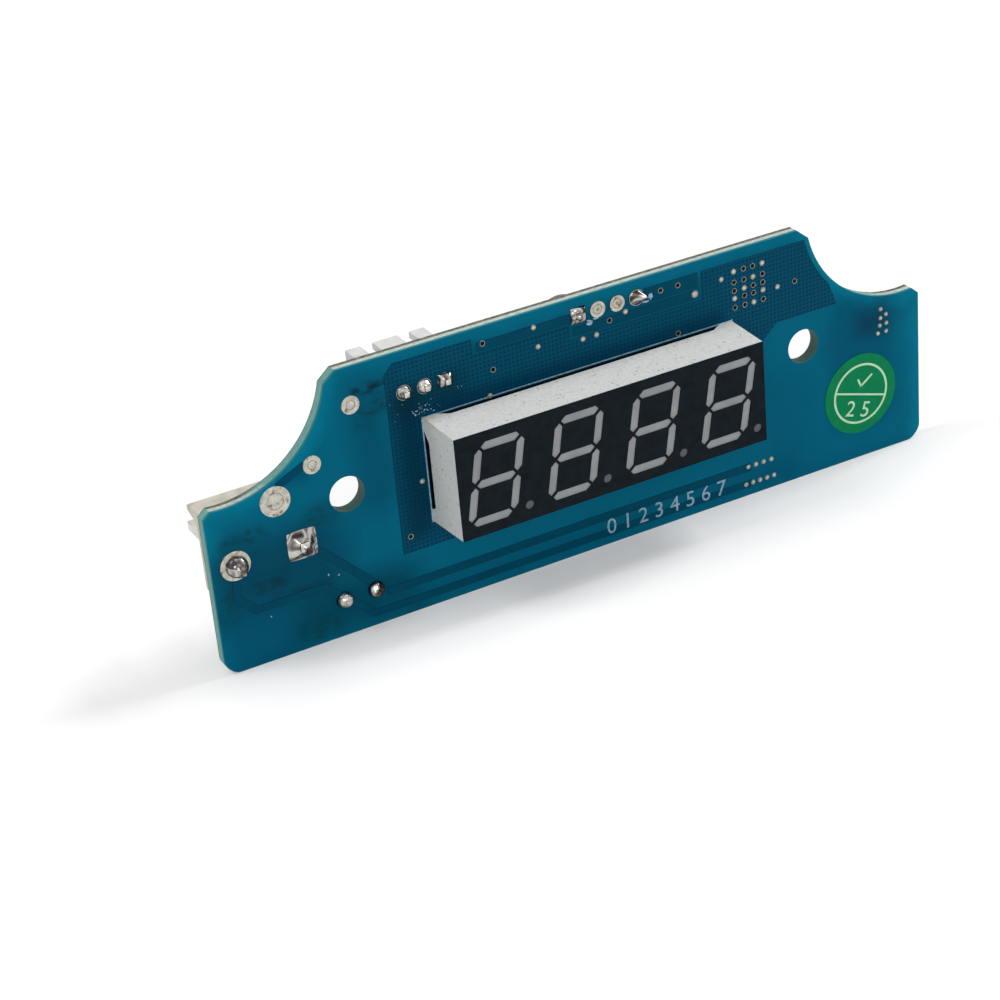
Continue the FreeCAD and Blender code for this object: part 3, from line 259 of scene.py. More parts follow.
grimed = add_node(tree, *SOFT_STEP, {"Value": depth, "From Min": 1.2 * MM,
                                     "From Max": BOARD * MM, "To Max": 0.75})[0]
mixed = add_node(tree, *BLEND, {0: grimed, 6: mixed, 7: dirt})[2]
streaks_and_lit_top = add_node(tree, *BLEND, {0: faces_up_lit, 6: mixed, 7: lit_top_and_dirt})[2]
tinted = add_node(tree, *SOFT_STEP, {"Value": depth, "From Min": 0.2 * MM, "From Max": 0.52 * MM,
                                     "To Min": 1.0, "To Max": 0.0})[0]
streaks_and_lit_top = add_node(tree, *BLEND, {0: tinted, 6: streaks_and_lit_top, 7: tone("#12666f")})[2]
tree.links.new(streaks_and_lit_top, shader.inputs["Base Color"])

# Drilled wall: the same laminate inside a hole, painted dark as the shade inside the hole.
drilled = worn("hole_wall_painted_shade", {"IOR": 1.55}, "#12332f", "#2b5a50", 0.5, (0.5, 0.8), 0.02)

# The back is coated the same, with nothing below it that shows through.
over_back = worn("lacquer_on_the_back", {"IOR": 1.54, "Specular IOR Level": 0.05},
                 "#01566f", "#01627c", 14.0, (0.22, 0.36), 0.002)

# The blunt edges of the two lower corners are rounded, then all sharp edges are eased
LOWER, CORNER, RIM = -15.0, 0.6, 0.06
board = from_cad("circuit_board")
ease([e for e in board.edges if all(v.co.z < LOWER for v in e.verts) and len(e.link_faces) == 2
      and 0.3 < e.calc_face_angle(0) < 1.0], board, CORNER, 4)
ease([e for e in board.edges if len(e.link_faces) == 2 and e.calc_face_angle(0) > 1.0], board, RIM, 1)
for face in board.faces:
    middle = face.calc_center_median()
    drilled_here = abs(abs(middle.x) - HOLE_X) < HOLE_R and abs(middle.z) < HOLE_R
    if abs(face.normal.y) < 0.9:
        face.material_index = 2 if drilled_here else 1
    elif face.normal.y > 0:
        face.material_index = 3
settle(board, "board_blank", [lacquer, edge_cut, drilled, over_back], ["circuit_board"])

# Copper tracks and ground. Copper is etched away around them, and the lacquer rides up over
# each edge. The ground area is etched as a fine net, so its small openings look darker.

COPPER, SHOULDER = 0.05, 0.1  # how far copper and lacquer stand up, and the width of their slope
NET_PITCH, NET_STRAND = 0.508, 0.164
VERT, EDGE, FACE = bmesh.types.BMVert, bmesh.types.BMEdge, bmesh.types.BMFace


def only(kind, made):
    """The points, edges or faces among all that an operator made."""
    return [part for part in made if isinstance(part, kind)]


def track(mesh, corners, width, low, high):
    """A copper track of even width that lies to one side of a line of (x, z) corners."""
    line = [mesh.verts.new((x, -low, z)) for x, z in corners]
    edges = [mesh.edges.new(pair) for pair in zip(line, line[1:])]
    wall = bmesh.ops.extrude_edge_only(mesh, edges=edges)["geom"]
    bmesh.ops.translate(mesh, verts=only(VERT, wall), vec=(0, low - high, 0))
    bmesh.ops.solidify(mesh, geom=only(FACE, wall), thickness=-width)


# Lacquer over copper: a darker, colder blue with a little of the metal's gloss.
over_copper = worn("lacquer_over_copper", {"IOR": 1.54, "Specular IOR Level": 0.02},
                   "#013f55", "#01445b", 6.0, (0.22, 0.34), 0.002)

# Lacquer over the shoulder of the copper: painted shade, a near-black blue line along each edge.
shoulder_shade = worn("lacquer_shoulder_shade", {"IOR": 1.54, "Specular IOR Level": 0.04},
                     "#012d42", "#01364c", 1.0, (0.25, 0.4))

# Lacquer over the etched net: pale crossing strands with a darker spot in each opening.
over_net, tree, shader = new_finish("lacquer_over_copper_net",
                                    {"IOR": 1.54, "Specular IOR Level": 0.02, "Roughness": 0.3})
where = add_node(tree, "ShaderNodeTexCoord", {}, {})["Object"]
flat = add_node(tree, "ShaderNodeMapping", {},
                {"Vector": where, "Rotation": (math.radians(90), 0, 0)})[0]
net = add_node(tree, "ShaderNodeTexBrick", {"offset": 0.0}, {
    "Vector": flat, "Scale": 1 / (BRICKS * MM), "Brick Width": NET_PITCH / BRICKS,
    "Row Height": NET_PITCH / BRICKS, "Mortar Size": NET_STRAND / BRICKS, "Mortar Smooth": 0.5})["Fac"]
cloud = add_node(tree, "ShaderNodeTexNoise", {},
                 {"Vector": where, "Scale": 1 / (11.11 * MM), "Detail": 4.0})[0]
strand = add_node(tree, *BLEND, {0: cloud, 6: tone("#02435b"), 7: tone("#054a64")})[2]
netted = add_node(tree, *BLEND, {0: net, 6: tone("#01334a"), 7: strand})[2]
axes = add_node(tree, "ShaderNodeSeparateXYZ", {}, {"Vector": where})
shaded = add_node(tree, *SOFT_STEP, {"Value": axes["X"], "From Min": -24.2 * MM,
                                     "From Max": -20.5 * MM, "To Min": 0.15, "To Max": 0.0})[0]
netted = add_node(tree, *BLEND, {0: shaded, 6: netted, 7: tone("#012a3e")})[2]
# Darker parts of the net: painted shade in the corners by the display's left side and top, a dark
# patch under the signal joints, and last the painted black shade behind the display
for shade, *patch in (
        ("#01283b", -21.6, 1.0, 1.6, 9.0, 1.4, 0.75), ("#05262f", -19.0, 8.6, 4.6, 2.0, 1.6, 0.5),
        ("#012c45", 0.0, 7.0, 19.0, 0.9, 0.9, 0.6), ("#02070d", 0.0, -0.2, 20.05, 6.15, 0.15, 0.95)):
    netted = add_node(tree, *BLEND, {0: soft_patch(tree, axes, *patch), 6: netted, 7: tone(shade)})[2]
tree.links.new(netted, shader.inputs["Base Color"])
relief = add_node(tree, "ShaderNodeBump", {},
                  {"Height": net, "Distance": 0.02 * MM, "Strength": 0.6})[0]
tree.links.new(relief, shader.inputs["Normal"])

NET_R = BITE_R + 0.6  # the net follows the right-hand bite at this radius
arc = [(BITE_X - NET_R * math.cos(math.radians(t)), BITE_Z - NET_R * math.sin(math.radians(t)))
       for t in (12.5, 18, 24, 30, 36, 41.5)]
outline = [(-24.15, -9.6), (-24.15, 12.4), (-23.0, 13.55), (-13.3, 13.55), (-13.3, 11.6), (-1.1, 11.6),
           (-1.1, 9.85), (16.4, 9.85), (16.4, 13.35), *arc,
           (34.9, 4.1), (26.4, 4.1), (24.0, 2.0), (15.0, 2.0), (15.0, -9.6)]
ground = bmesh.new()
face = ground.faces.new([ground.verts.new((x, 0, z)) for x, z in outline])
raised = bmesh.ops.extrude_face_region(ground, geom=[face])["geom"]
bmesh.ops.translate(ground, verts=only(VERT, raised), vec=(0, -COPPER, 0))
ease(only(EDGE, raised), ground, SHOULDER * 1.2)
bmesh.ops.recalc_face_normals(ground, faces=ground.faces)
# Flat tops take the net; the sloped sides take the painted shade line.
for face in ground.faces:
    face.material_index = 0 if face.normal.y < -0.99 else 1
settle(ground, "ground_net", [over_net, shoulder_shade])

PIN_PITCH = 2.54
DISPLAY_PINS = [-6.35 + PIN_PITCH * k for k in range(6)]
SIGNAL_PINS = [-22.0 + PIN_PITCH * k for k in range(3)]
# Each run is the line of one side of a track, and the track's width
front_runs = (
    ([(-26.6, -13.95), (22.0, -13.95)], 1.05),
    ([(-31.6, -13.2), (-29.6, -14.9), (-28.6, -16.05), (22.0, -16.05)], 0.95),
    ([(-44.6, -6.0), (-44.6, -8.5), (-42.4, -10.75), (-34.2, -10.75), (-32.2, -12.8)], 0.95),
    ([(-34.4, -6.0), (-28.4, -12.2)], 1.0),
    ([(-37.8, 3.0), (-34.3, 4.6)], 1.0),
    ([(-12.7, 11.85), (-0.7, 11.85)], 1.15),
    ([(-0.6, 10.15), (15.6, 10.15)], 1.1),
    ([(8.8, 11.5), (15.9, 11.5)], 1.85))
# The tracks on the back only join what stands there
rear_runs = [([(23.4, -15.6), (25.5, -13.2), (25.5, 3.4)], 1.1),
             ([(21.6, -12.9), (20.4, -11.6), (20.4, 1.4), (21.4, 3.2)], 1.0),
             ([(-36.4, -5.6), (-34.6, -7.2), (-32.8, -7.2)], 1.0),
             ([(-27.4, -7.2), (-26.6, -8.2), (-26.6, -10.6), (-27.4, -12.0)], 1.0)]
rear_runs += [([(x, -5.9), (x, -7.2), (x * 1.03 + 0.1, -8.4)], 0.35) for x in DISPLAY_PINS]
rear_runs += [([(x, -10.2), (x + 0.4, -11.2), (x + 0.4, -12.4)], 0.35) for x in (-8.9, -3.4, 2.6, 8.6)]
rear_runs += [([(x, 8.9), (x, 6.4), (x * 0.5 - 4.6, 4.4), (x * 0.5 - 4.6, 3.4)], 0.4)
              for x in SIGNAL_PINS]
rear_runs += [([(-8.4, z), (8.6, z), (9.4 + abs(z), z * 1.6)], 0.3)
              for z in (1.5, 0.75, 0.0, -0.75, -1.5)]
for name, runs, under, over in (("front_tracks", front_runs, 0.0, COPPER),
                                ("rear_tracks", rear_runs, -BOARD, -BOARD - COPPER)):
    tracks = bmesh.new()
    for corners, width in runs:
        track(tracks, corners, width, under, over)
    bmesh.ops.recalc_face_normals(tracks, faces=tracks.faces)
    top_rim = [e for e in tracks.edges if all(abs(v.co.y + over) < COPPER / 2 for v in e.verts)
               and len(e.link_faces) == 2 and e.calc_face_angle(0) > 1]
    ease(top_rim, tracks, SHOULDER)
    # Flat faces take the lacquer over copper; the sloped sides take the painted shade line.
    for face in tracks.faces:
        face.material_index = 0 if abs(face.normal.y) > 0.99 else 1
    settle(tracks, name, [over_copper, shoulder_shade])

# Vias. Small drilled and plated holes that join front to back. The lacquer stops around
# them, so each shows a beige tinned ring, with its bore open or choked with solder.

RING = 0.085  # how far a via's tinned ring stands up
FRONT = Matrix.Rotation(math.radians(90), 4, "X")
BACK = Matrix.Translation((0, BOARD, 0)) @ Matrix.Rotation(math.radians(-90), 4, "X")


def disc(mesh, spot, radius, low, high, sides=24, edge=0.03):
    """A thin round pad on one face of the board, and its outer face."""
    centre = Matrix.Translation((spot[0], 0, spot[1])) @ spot[2]
    made = bmesh.ops.create_cone(mesh, cap_ends=True, segments=sides, radius1=radius,
                                 radius2=radius - edge, depth=high - low,
                                 matrix=centre @ Matrix.Translation((0, 0, (low + high) / 2)))["verts"]
    reach = centre @ Vector((0, 0, high))
    return [f for f in set(f for v in made for f in v.link_faces)
            if len(f.verts) == sides and abs(f.calc_center_median().y - reach.y) < 0.001][0]


# Tinned copper gone dull and beige, an open bore painted black for the shade inside the hole,
# and a bore full of solder.
tinned_ring = worn("tinned_ring", {"Metallic": 0.35}, "#6a685b", "#a19d8d", 0.2, (0.35, 0.6), 0.01)
open_bore_shade = worn("open_bore_shade", {"IOR": 1.5, "Specular IOR Level": 0.02},
                 "#050708", "#14201f", 0.2, (0.5, 0.8))
choked_bore = worn("solder_choked_bore", {"Metallic": 0.5},
                   "#86816f", "#d9d7cd", 0.25, (0.25, 0.5), 0.01)

# Each via's place and radius, and whether solder chokes it
vias = [(x, z, 0.36, (i + j) % 3 == 0) for i, x in enumerate((20.75, 22.1, 23.35, 24.65))
        for j, z in enumerate((12.1, 10.75, 9.7, 8.75, 7.6))]
vias += [(x, z, 0.28, True) for x, z in ((41.2, 1.55), (41.95, 0.7), (41.15, 0.4), (42.0, -0.45),
                                         (41.05, -0.55), (41.95, -1.5), (40.75, -1.5))]
vias += [(21.6 + 1.1 * k, -13.3, 0.32, True) for k in range(4)]
vias += [(21.2 + k, -15.55, 0.32, True) for k in range(5)]
vias += [(x, z, 0.36, False) for x, z in ((-11.98, 12.7), (-10.96, 9.24), (-23.05, -7.62),
                                          (10.95, 12.52), (13.25, 12.51), (12.95, 6.63),
                                          (29.05, 8.6), (4.11, 10.81))]
vias += [(x, z, 0.34, True) for x, z in ((-5.54, 12.74), (-5.17, 10.3), (-11.64, 6.26), (-20.92, -1.36),
                                         (0.56, 9.56), (2.33, 9.56), (6.24, 11.27), (19.05, 11.6),
                                         (26.66, 8.57))]
vias.append((15.43, 10.8, 0.46, True))
rings = bmesh.new()
for x, z, radius, choked in vias:
    for facing in (FRONT, BACK):
        cap = disc(rings, (x, z, facing), radius, 0.0, RING, 16)
        bmesh.ops.inset_individual(rings, faces=[cap], thickness=radius * (0.35 if choked else 0.2),
                                   depth=0.02 if choked else -0.03)
        cap.material_index = 2 if choked else 1
        if choked:
            bmesh.ops.poke(rings, faces=[cap], offset=0.1)
settle(rings, "vias", [tinned_ring, open_bore_shade, choked_bore])

# Printed lines. White epoxy ink screened over the lacquer marks the display's place, and a
# plain row of numbers stands below it. The ink is thin, so the blue tints it.

INK = 0.02


def lettering(mesh, words, tall, x, z, out, turn=0.0):
    """Words or numbers as a thin print, centred at x, z, with its back at y = -out."""
    curve = bpy.data.curves.new("print", "FONT")
    curve.body, curve.size, curve.align_x, curve.align_y = words, tall / 0.7, "CENTER", "CENTER"
    curve.extrude = INK / 2
    curve.resolution_u = 3
    text = bpy.data.objects.new("print", curve)
    bpy.context.scene.collection.objects.link(text)
    data = bpy.data.meshes.new_from_object(text.evaluated_get(bpy.context.evaluated_depsgraph_get()))
    bpy.data.objects.remove(text)
    data.transform(Matrix.Translation((x, -out - INK / 2, z)) @ FRONT
                   @ Matrix.Rotation(math.radians(turn), 4, "Z"))
    mesh.from_mesh(data)
    bpy.data.meshes.remove(data)


white_ink = worn("screened_white_ink", {"IOR": 1.5}, "#5a8199", "#93b0bf", 0.35, (0.5, 0.7))
marks = bmesh.new()
for corners in ([(-20.25, 6.1), (20.15, 6.1)], [(-20.25, 6.3), (-20.25, -6.7)],
                [(20.15, 6.3), (20.15, -6.7)], [(-20.25, -6.75), (20.15, -6.75)]):
    track(marks, corners, 0.15, COPPER, COPPER + INK)
bmesh.ops.recalc_face_normals(marks, faces=marks.faces)
lettering(marks, "0 1 2 3 4 5 6 7", 1.95, 10.1, -14.95, COPPER)
settle(marks, "printed_marks", [white_ink])

# Display housing. One moulding in white glass-filled plastic, which stands on four sloped feet
# and whose slanted cavities throw the light forward. It is scuffed and lightly specked.

FOOT, FOOT_SEEN = 0.6, 1.0  # the gap behind the housing in the solids, and the wider real one
FEET_X, FOOT_Z = 18.2, 4.3
SLOPE_X, SLOPE_Z = 1.1, 0.9  # how far the feet slope in, and how far the edge by them dips
white_moulding, tree, shader = new_finish("white_glass_filled_moulding", {"IOR": 1.53})
place, mixed = wear_in(tree, shader, "#b0b2b0", "#c4c6c3", 0.4, (0.55, 0.7), 0.0)
smear = patchy(tree, place, 1.111, 3.0, 0.35, 0.6)
specks = add_node(tree, "ShaderNodeTexVoronoi", {},
                  {"Vector": place, "Scale": 1 / (0.7143 * MM)})["Distance"]
spots = add_node(tree, "ShaderNodeMapRange", {}, {"Value": specks, "From Min": 0.14, "From Max": 0.24,
                                                  "To Min": 1.0, "To Max": 0.0})[0]
few = patchy(tree, place, 2.0, 2.0, 0.44, 0.58)
spots = add_node(tree, "ShaderNodeMath", {"operation": "MULTIPLY"}, {0: spots, 1: few})[0]
specked = add_node(tree, *BLEND, {0: spots, 6: mixed, 7: tone("#858783")})[2]
axes = add_node(tree, "ShaderNodeSeparateXYZ", {}, {"Vector": place})
handled = add_node(tree, "ShaderNodeMath", {"operation": "MULTIPLY"},
                   {0: soft_patch(tree, axes, -20.1, 6.2, 0.1, 0.1, 0.3, 0.75), 1: smear})[0]
specked = add_node(tree, *BLEND, {0: handled, 6: specked, 7: tone("#a09373")})[2]
tree.links.new(specked, shader.inputs["Base Color"])
skin = add_node(tree, "ShaderNodeTexNoise", {},
                {"Vector": place, "Scale": 1 / (0.4545 * MM), "Detail": 3.0})[0]
skin = add_node(tree, "ShaderNodeBump", {},
                {"Height": skin, "Distance": 0.03 * MM, "Strength": 0.6})[0]
tree.links.new(skin, shader.inputs["Normal"])
housing = from_cad("display_housing")
for vert in housing.verts:
    if abs(vert.co.y + FOOT) < 0.01:
        vert.co.y = -FOOT_SEEN
        if abs(abs(vert.co.x) - FEET_X) < 0.1:
            vert.co.x -= math.copysign(SLOPE_X, vert.co.x)
        elif abs(vert.co.z - FOOT_Z) < 0.1:
            vert.co.z -= SLOPE_Z
settle(housing, "display_reflector", [white_moulding], ["display_housing"])

# Black front. Ink stamped on the moulding's face around the cavities, matt, with a faint
# graze here and there.
black_print = worn("stamped_black_ink", {"IOR": 1.48, "Specular IOR Level": 0.03},
                   "#10161b", "#182025", 1.2, (0.42, 0.6), 0.004)
settle(from_cad("display_face"), "display_front_print", [black_print], ["display_face"])

# Filling. Milky epoxy cast into the cavities: the unlit bars look mid grey, and the points,
# which are deeper and narrower, are painted darker for the shade in their cavities.

POINT_X, POINT_Z, POINT_R, PITCH = 18.755, -4.57, 0.66, 10.05
filling, tree, shader = new_finish("milky_cast_epoxy", {"IOR": 1.52, "Specular IOR Level": 0.1})
mixed = wear_in(tree, shader, "#85888b", "#94979a", 2.5, (0.35, 0.5), 0.003)[1]
where = add_node(tree, "ShaderNodeTexCoord", {}, {})["Object"]
axes = add_node(tree, "ShaderNodeSeparateXYZ", {}, {"Vector": where})
along = add_node(tree, "ShaderNodeMath", {"operation": "SUBTRACT"}, {0: axes["X"], 1: POINT_X * MM})[0]
along = add_node(tree, "ShaderNodeMath", {"operation": "WRAP"},
                 {0: along, 1: PITCH / 2 * MM, 2: -PITCH / 2 * MM})[0]
below = add_node(tree, "ShaderNodeMath", {"operation": "SUBTRACT"}, {0: axes["Z"], 1: POINT_Z * MM})[0]
away = add_node(tree, "ShaderNodeCombineXYZ", {}, {"X": along, "Y": below})[0]
away = add_node(tree, "ShaderNodeVectorMath", {"operation": "LENGTH"}, {0: away})["Value"]
# The points are painted darker: painted shade in their deep, narrow cavities.
point = add_node(tree, "ShaderNodeMapRange", {}, {
    "Value": away, "From Min": (POINT_R - 0.02) * MM, "From Max": (POINT_R + 0.02) * MM,
    "To Min": 1.0, "To Max": 0.0})[0]
points_painted_dark = add_node(tree, *BLEND, {0: point, 6: mixed, 7: tone("#595d62")})[2]
tree.links.new(points_painted_dark, shader.inputs["Base Color"])
settle(from_cad("display_filling"), "display_bars", [filling], ["display_filling"])

# Small board and light chips. They close the back of the display, and are cast in. The small
# board is painted near-black as the shade in the gap behind the display.
small_board_shade = worn("small_board_painted_shade", {"IOR": 1.55},
                   "#14170f", "#24281c", 0.6, (0.4, 0.6), 0.01, (1, 1, 4))
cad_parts["led_board"].material_slots[0].material = small_board_shade
# A light chip, sawn and glassy, is a small amber glint.
light_chip = worn("light_chip", {"IOR": 3.2}, "#6b4a18", "#a6782c", 0.1, (0.1, 0.25))
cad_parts["led_dies"].material_slots[0].material = light_chip

# Soldered joints. Tin-lead solder drawn up by surface tension from its pad: bright, with dark and
# pale reflections painted into its colour in flowing bands, and clouded by flux the colour of weak tea.

PAD = 0.09  # how far a tinned pad stands up


def heap(mesh, spot, reach, height, power, swell, square=0.0, lean=(0.0, 0.0), rough=0.05, base=0.05,
         cells=18):
    """A joint: a grid drawn up to a dome or a peak over its pad, then closed underneath. Power
    and swell shape its flank, square its outline, and lean tips it by a share of its rise."""
    centre = Matrix.Translation((spot[0], 0, spot[1])) @ spot[2]
    grown = bmesh.ops.create_grid(mesh, x_segments=cells, y_segments=cells, size=1.0)["verts"]
    for vert in grown:
        u, v = vert.co.x, vert.co.y
        bent = Vector((u * math.sqrt(1 - v * v / 2), v * math.sqrt(1 - u * u / 2)))
        out = bent.length * (1 - square) + max(abs(u), abs(v)) * square
        flat = bent.lerp(Vector((u, v)), square)
        rise = height * max(0.0, 1 - min(out, 1.0) ** power) ** swell
        ripple = noise.noise(Vector((u * 1.9 + spot[0], v * 1.9 + spot[1], height)))
        rise += ripple * rough * (1 - min(out, 1.0) ** 4)
        vert.co = (flat.x * reach + lean[0] * rise, flat.y * reach + lean[1] * rise, base + rise)
    rim = [e for e in set(e for v in grown for e in v.link_edges) if e.is_boundary]
    skirt = bmesh.ops.extrude_edge_only(mesh, edges=rim)["geom"]
    low = only(VERT, skirt)
    bmesh.ops.translate(mesh, verts=low, vec=(0, 0, -base))
    bmesh.ops.contextual_create(mesh, geom=[e for e in only(EDGE, skirt)
                                            if all(v in low for v in e.verts)])
    bmesh.ops.transform(mesh, matrix=centre, verts=grown + low)


def pin_end(mesh, spot, side, height, lean=(0.0, 0.0)):
    """The cropped end of a square pin that stands out of its joint."""
    centre = Matrix.Translation((spot[0], 0, spot[1])) @ spot[2]
    made = bmesh.ops.create_cube(mesh, size=1.0)["verts"]
    bmesh.ops.scale(mesh, vec=(side, side, height), verts=made)
    bmesh.ops.translate(mesh, verts=made, vec=(lean[0], lean[1], height / 2))
    bmesh.ops.transform(mesh, matrix=centre, verts=made)
    ease(list(set(e for v in made for e in v.link_edges)), mesh, side * 0.12)


bright, tree, shader = new_finish("bright_solder", {"Metallic": 1.0})
place = wear_in(tree, shader, "#5f5d5a", "#c9c7c2", 0.7, (0.1, 0.28), 0.03)[0]
# Painted reflections: flowing bands of near-black and pale grey in the metal's colour.
flow = add_node(tree, "ShaderNodeTexNoise", {}, {"Vector": place, "Scale": 1 / (2.083 * MM),
                                                 "Detail": 0.6, "Distortion": 1.0})[0]
painted_reflections = add_node(tree, "ShaderNodeValToRGB", {}, {0: flow})[0]
stops = painted_reflections.node.color_ramp.elements
for spot, colour in ((0.34, "#3b3634"), (0.42, "#85827e"), (0.48, "#bdbab5"), (0.54, "#a3a09b"),
                     (0.6, "#4d4845"), (0.66, "#b3b0aa")):
    stops.new(spot).color = tone(colour)
stops[0].color = tone("#3a3533")
stops[-1].color = tone("#cbc8c3")
tea = patchy(tree, place, 1.111, 4.0, 0.6, 0.7)
fluxed = add_node(tree, *BLEND, {0: tea, 6: painted_reflections, 7: tone("#5d4a35")})[2]
tree.links.new(fluxed, shader.inputs["Base Color"])

# Tinned pad: a flat coat of solder, dull and cream-grey, with brown flux caught in its grain.
dull_tin, tree, shader = new_finish("dull_tinned_pad", {"Metallic": 0.25})
place, mixed = wear_in(tree, shader, "#a5a194", "#d0cdc3", 0.6, (0.4, 0.65), 0.02)
tea = patchy(tree, place, 0.6667, 3.0, 0.56, 0.68)
fluxed = add_node(tree, *BLEND, {0: tea, 6: mixed, 7: tone("#75624a")})[2]
tree.links.new(fluxed, shader.inputs["Base Color"])

# Caught flux: tea-brown in grooves. The round joint's dome is painted near-black on its far side,
# a painted dark reflection.
dark_reflection = worn("solder_dark_reflection", {"IOR": 1.5}, "#17131a", "#3d3534", 0.4, (0.12, 0.3), 0.01)
brown = worn("tea_brown_flux", {"IOR": 1.5}, "#4d4233", "#b0a58f", 0.22, (0.3, 0.5), 0.01)

# Power joints: a round one that leans on its pin, and a square one drawn up to its pin.
POWER_ROUND, POWER_SQUARE = (-43.92, -4.13, FRONT), (-36.0, -4.13, FRONT)
joint = bmesh.new()
disc(joint, POWER_ROUND, 1.82, 0.0, PAD, 48, 0.05).material_index = 1
before = len(joint.faces)
heap(joint, (-43.82, -4.2, FRONT), 1.3, 1.35, 2.0, 0.6, rough=0.22, base=0.08, lean=(0.12, -0.1),
     cells=26)
joint.normal_update()
joint.faces.ensure_lookup_table()
# Faces of the dome that turn left and up are painted near-black: a painted dark reflection.
for face in joint.faces[before:]:
    if face.normal.dot(Vector((-0.66, -0.5, 0.56))) > 0.9:
        face.material_index = 2
pin_end(joint, POWER_ROUND, 0.62, 1.62, (0.3, -0.42))
settle(joint, "power_joint_round_dome", [bright, dull_tin, dark_reflection], ["power_joint_round"], 50)

joint = bmesh.new()
heap(joint, POWER_SQUARE, 1.76, 1.3, 1.0, 1.35, square=0.8, rough=0.22, base=0.1, cells=28,
     lean=(0.15, -0.15))
pin_end(joint, POWER_SQUARE, 0.62, 1.6, (0.25, -0.3))
settle(joint, "power_joint_square_peak", [bright], ["power_joint_square"], 50)

# Signal joints: two round drops and a square one, each cut close over its pin.
SIGNAL_Z = 9.83
joint = bmesh.new()
for x, square in zip(SIGNAL_PINS, (0.0, 0.0, 0.75)):
    spot = (x, SIGNAL_Z, FRONT)
    disc(joint, spot, 0.92, 0.0, PAD, 32).material_index = 1
    heap(joint, spot, 0.86, 0.82, 1.7, 0.75, square=square, rough=0.16, base=0.08, lean=(0.1, 0.0))
    pin_end(joint, spot, 0.42, 0.98, (0.08, -0.12))
settle(joint, "signal_joint_drops", [bright, dull_tin], ["signal_joints"], 50)

# Programming row: four tinned holes with no header in them. The first holds a square lump,
# two are flat, and the last was drawn out to a point when the iron left it.
ROW_X, ROW_Z = 0.15, 12.58
joint = bmesh.new()
row = [(ROW_X + PIN_PITCH * k, ROW_Z, FRONT) for k in range(4)]
heap(joint, row[0], 0.98, 0.42, 2.5, 0.6, square=0.9, rough=0.4, base=0.08, cells=22)
for spot in row[1:3]:
    face = disc(joint, spot, 0.99, 0.0, PAD, 40)
    face.material_index = 1
    bmesh.ops.inset_individual(joint, faces=[face], thickness=0.36, depth=0.0)
    for groove in bmesh.ops.inset_individual(joint, faces=[face], thickness=0.1, depth=-0.04)["faces"]:
        groove.material_index = 2
    bmesh.ops.inset_individual(joint, faces=[face], thickness=0.12, depth=0.05)
    bmesh.ops.inset_individual(joint, faces=[face], thickness=0.16, depth=-0.03)
    face.material_index = 2
disc(joint, row[3], 1.0, 0.0, PAD, 40).material_index = 1
heap(joint, row[3], 0.93, 1.1, 1.0, 1.0, rough=0.12, base=0.08, lean=(0.75, 0.1))
for spot in row:
    heap(joint, (*spot[:2], BACK), 0.9, 0.2, 2.0, 0.6, rough=0.08)
settle(joint, "programming_joints", [bright, dull_tin, brown], ["program_joints"], 50)

# Spare holes: three tinned rings, full of solder that stands up a little at the middle, with
# flux caught in the groove around it.
GROOVE = 0.1
joint = bmesh.new()
for x, z, radius, bore in ((-28.37, 10.27, 1.08, 0.5), (-33.65, 4.76, 1.08, 0.5),
                           (-38.4, 1.87, 1.8, 0.95)):
    for facing in (FRONT, BACK):
        face = disc(joint, (x, z, facing), radius, 0.0, PAD, 40)
        bmesh.ops.inset_individual(joint, faces=[face], thickness=radius - bore - GROOVE, depth=0.0)
        for groove in bmesh.ops.inset_individual(joint, faces=[face], thickness=GROOVE,
                                                 depth=-0.05)["faces"]:
            groove.material_index = 1
        bmesh.ops.inset_individual(joint, faces=[face], thickness=bore * 0.35, depth=0.06)
        bmesh.ops.inset_individual(joint, faces=[face], thickness=bore * 0.3, depth=0.03)
settle(joint, "spare_hole_rings", [dull_tin, brown], ["spare_pads"], 50)

# Capacitor joints: two small beads with the ends of the cropped leads in them.
BEADS_X, BEADS_Z = (-31.89, -27.99), -12.56
joint = bmesh.new()
for x in BEADS_X:
    spot = (x, BEADS_Z, FRONT)
    heap(joint, spot, 0.97, 0.95, 2.2, 0.5, rough=0.2, base=0.06, lean=(0.05, 0.0))
    pin_end(joint, spot, 0.4, 1.1, (0.05, -0.1))
settle(joint, "capacitor_joint_beads", [bright], ["radial_joints"], 50)

# Display joints on the back: twelve cones of solder around the display's pins.
for row_name, z in (("upper", 4.88), ("lower", -5.28)):
    joint = bmesh.new()
    for x in DISPLAY_PINS:
        heap(joint, (x, z, BACK), 0.9, 0.85, 1.1, 1.3, rough=0.05, cells=14)
    settle(joint, "display_joint_cones_" + row_name, [bright],
           ["display_joints_" + row_name], 50)

# Dried flux. Whitish flakes left on the lacquer beside the hand-soldered joints, and a
# scatter of tiny specks where the board was brushed.
flake = worn("dried_flux_flake", {"IOR": 1.5, "Specular IOR Level": 0.1},
             "#4f7796", "#b4c3d8", 0.35, (0.6, 0.8), 0.006)
FLAKE = 0.02  # how thick a flake is
flakes = bmesh.new()
scatter = Random(7)
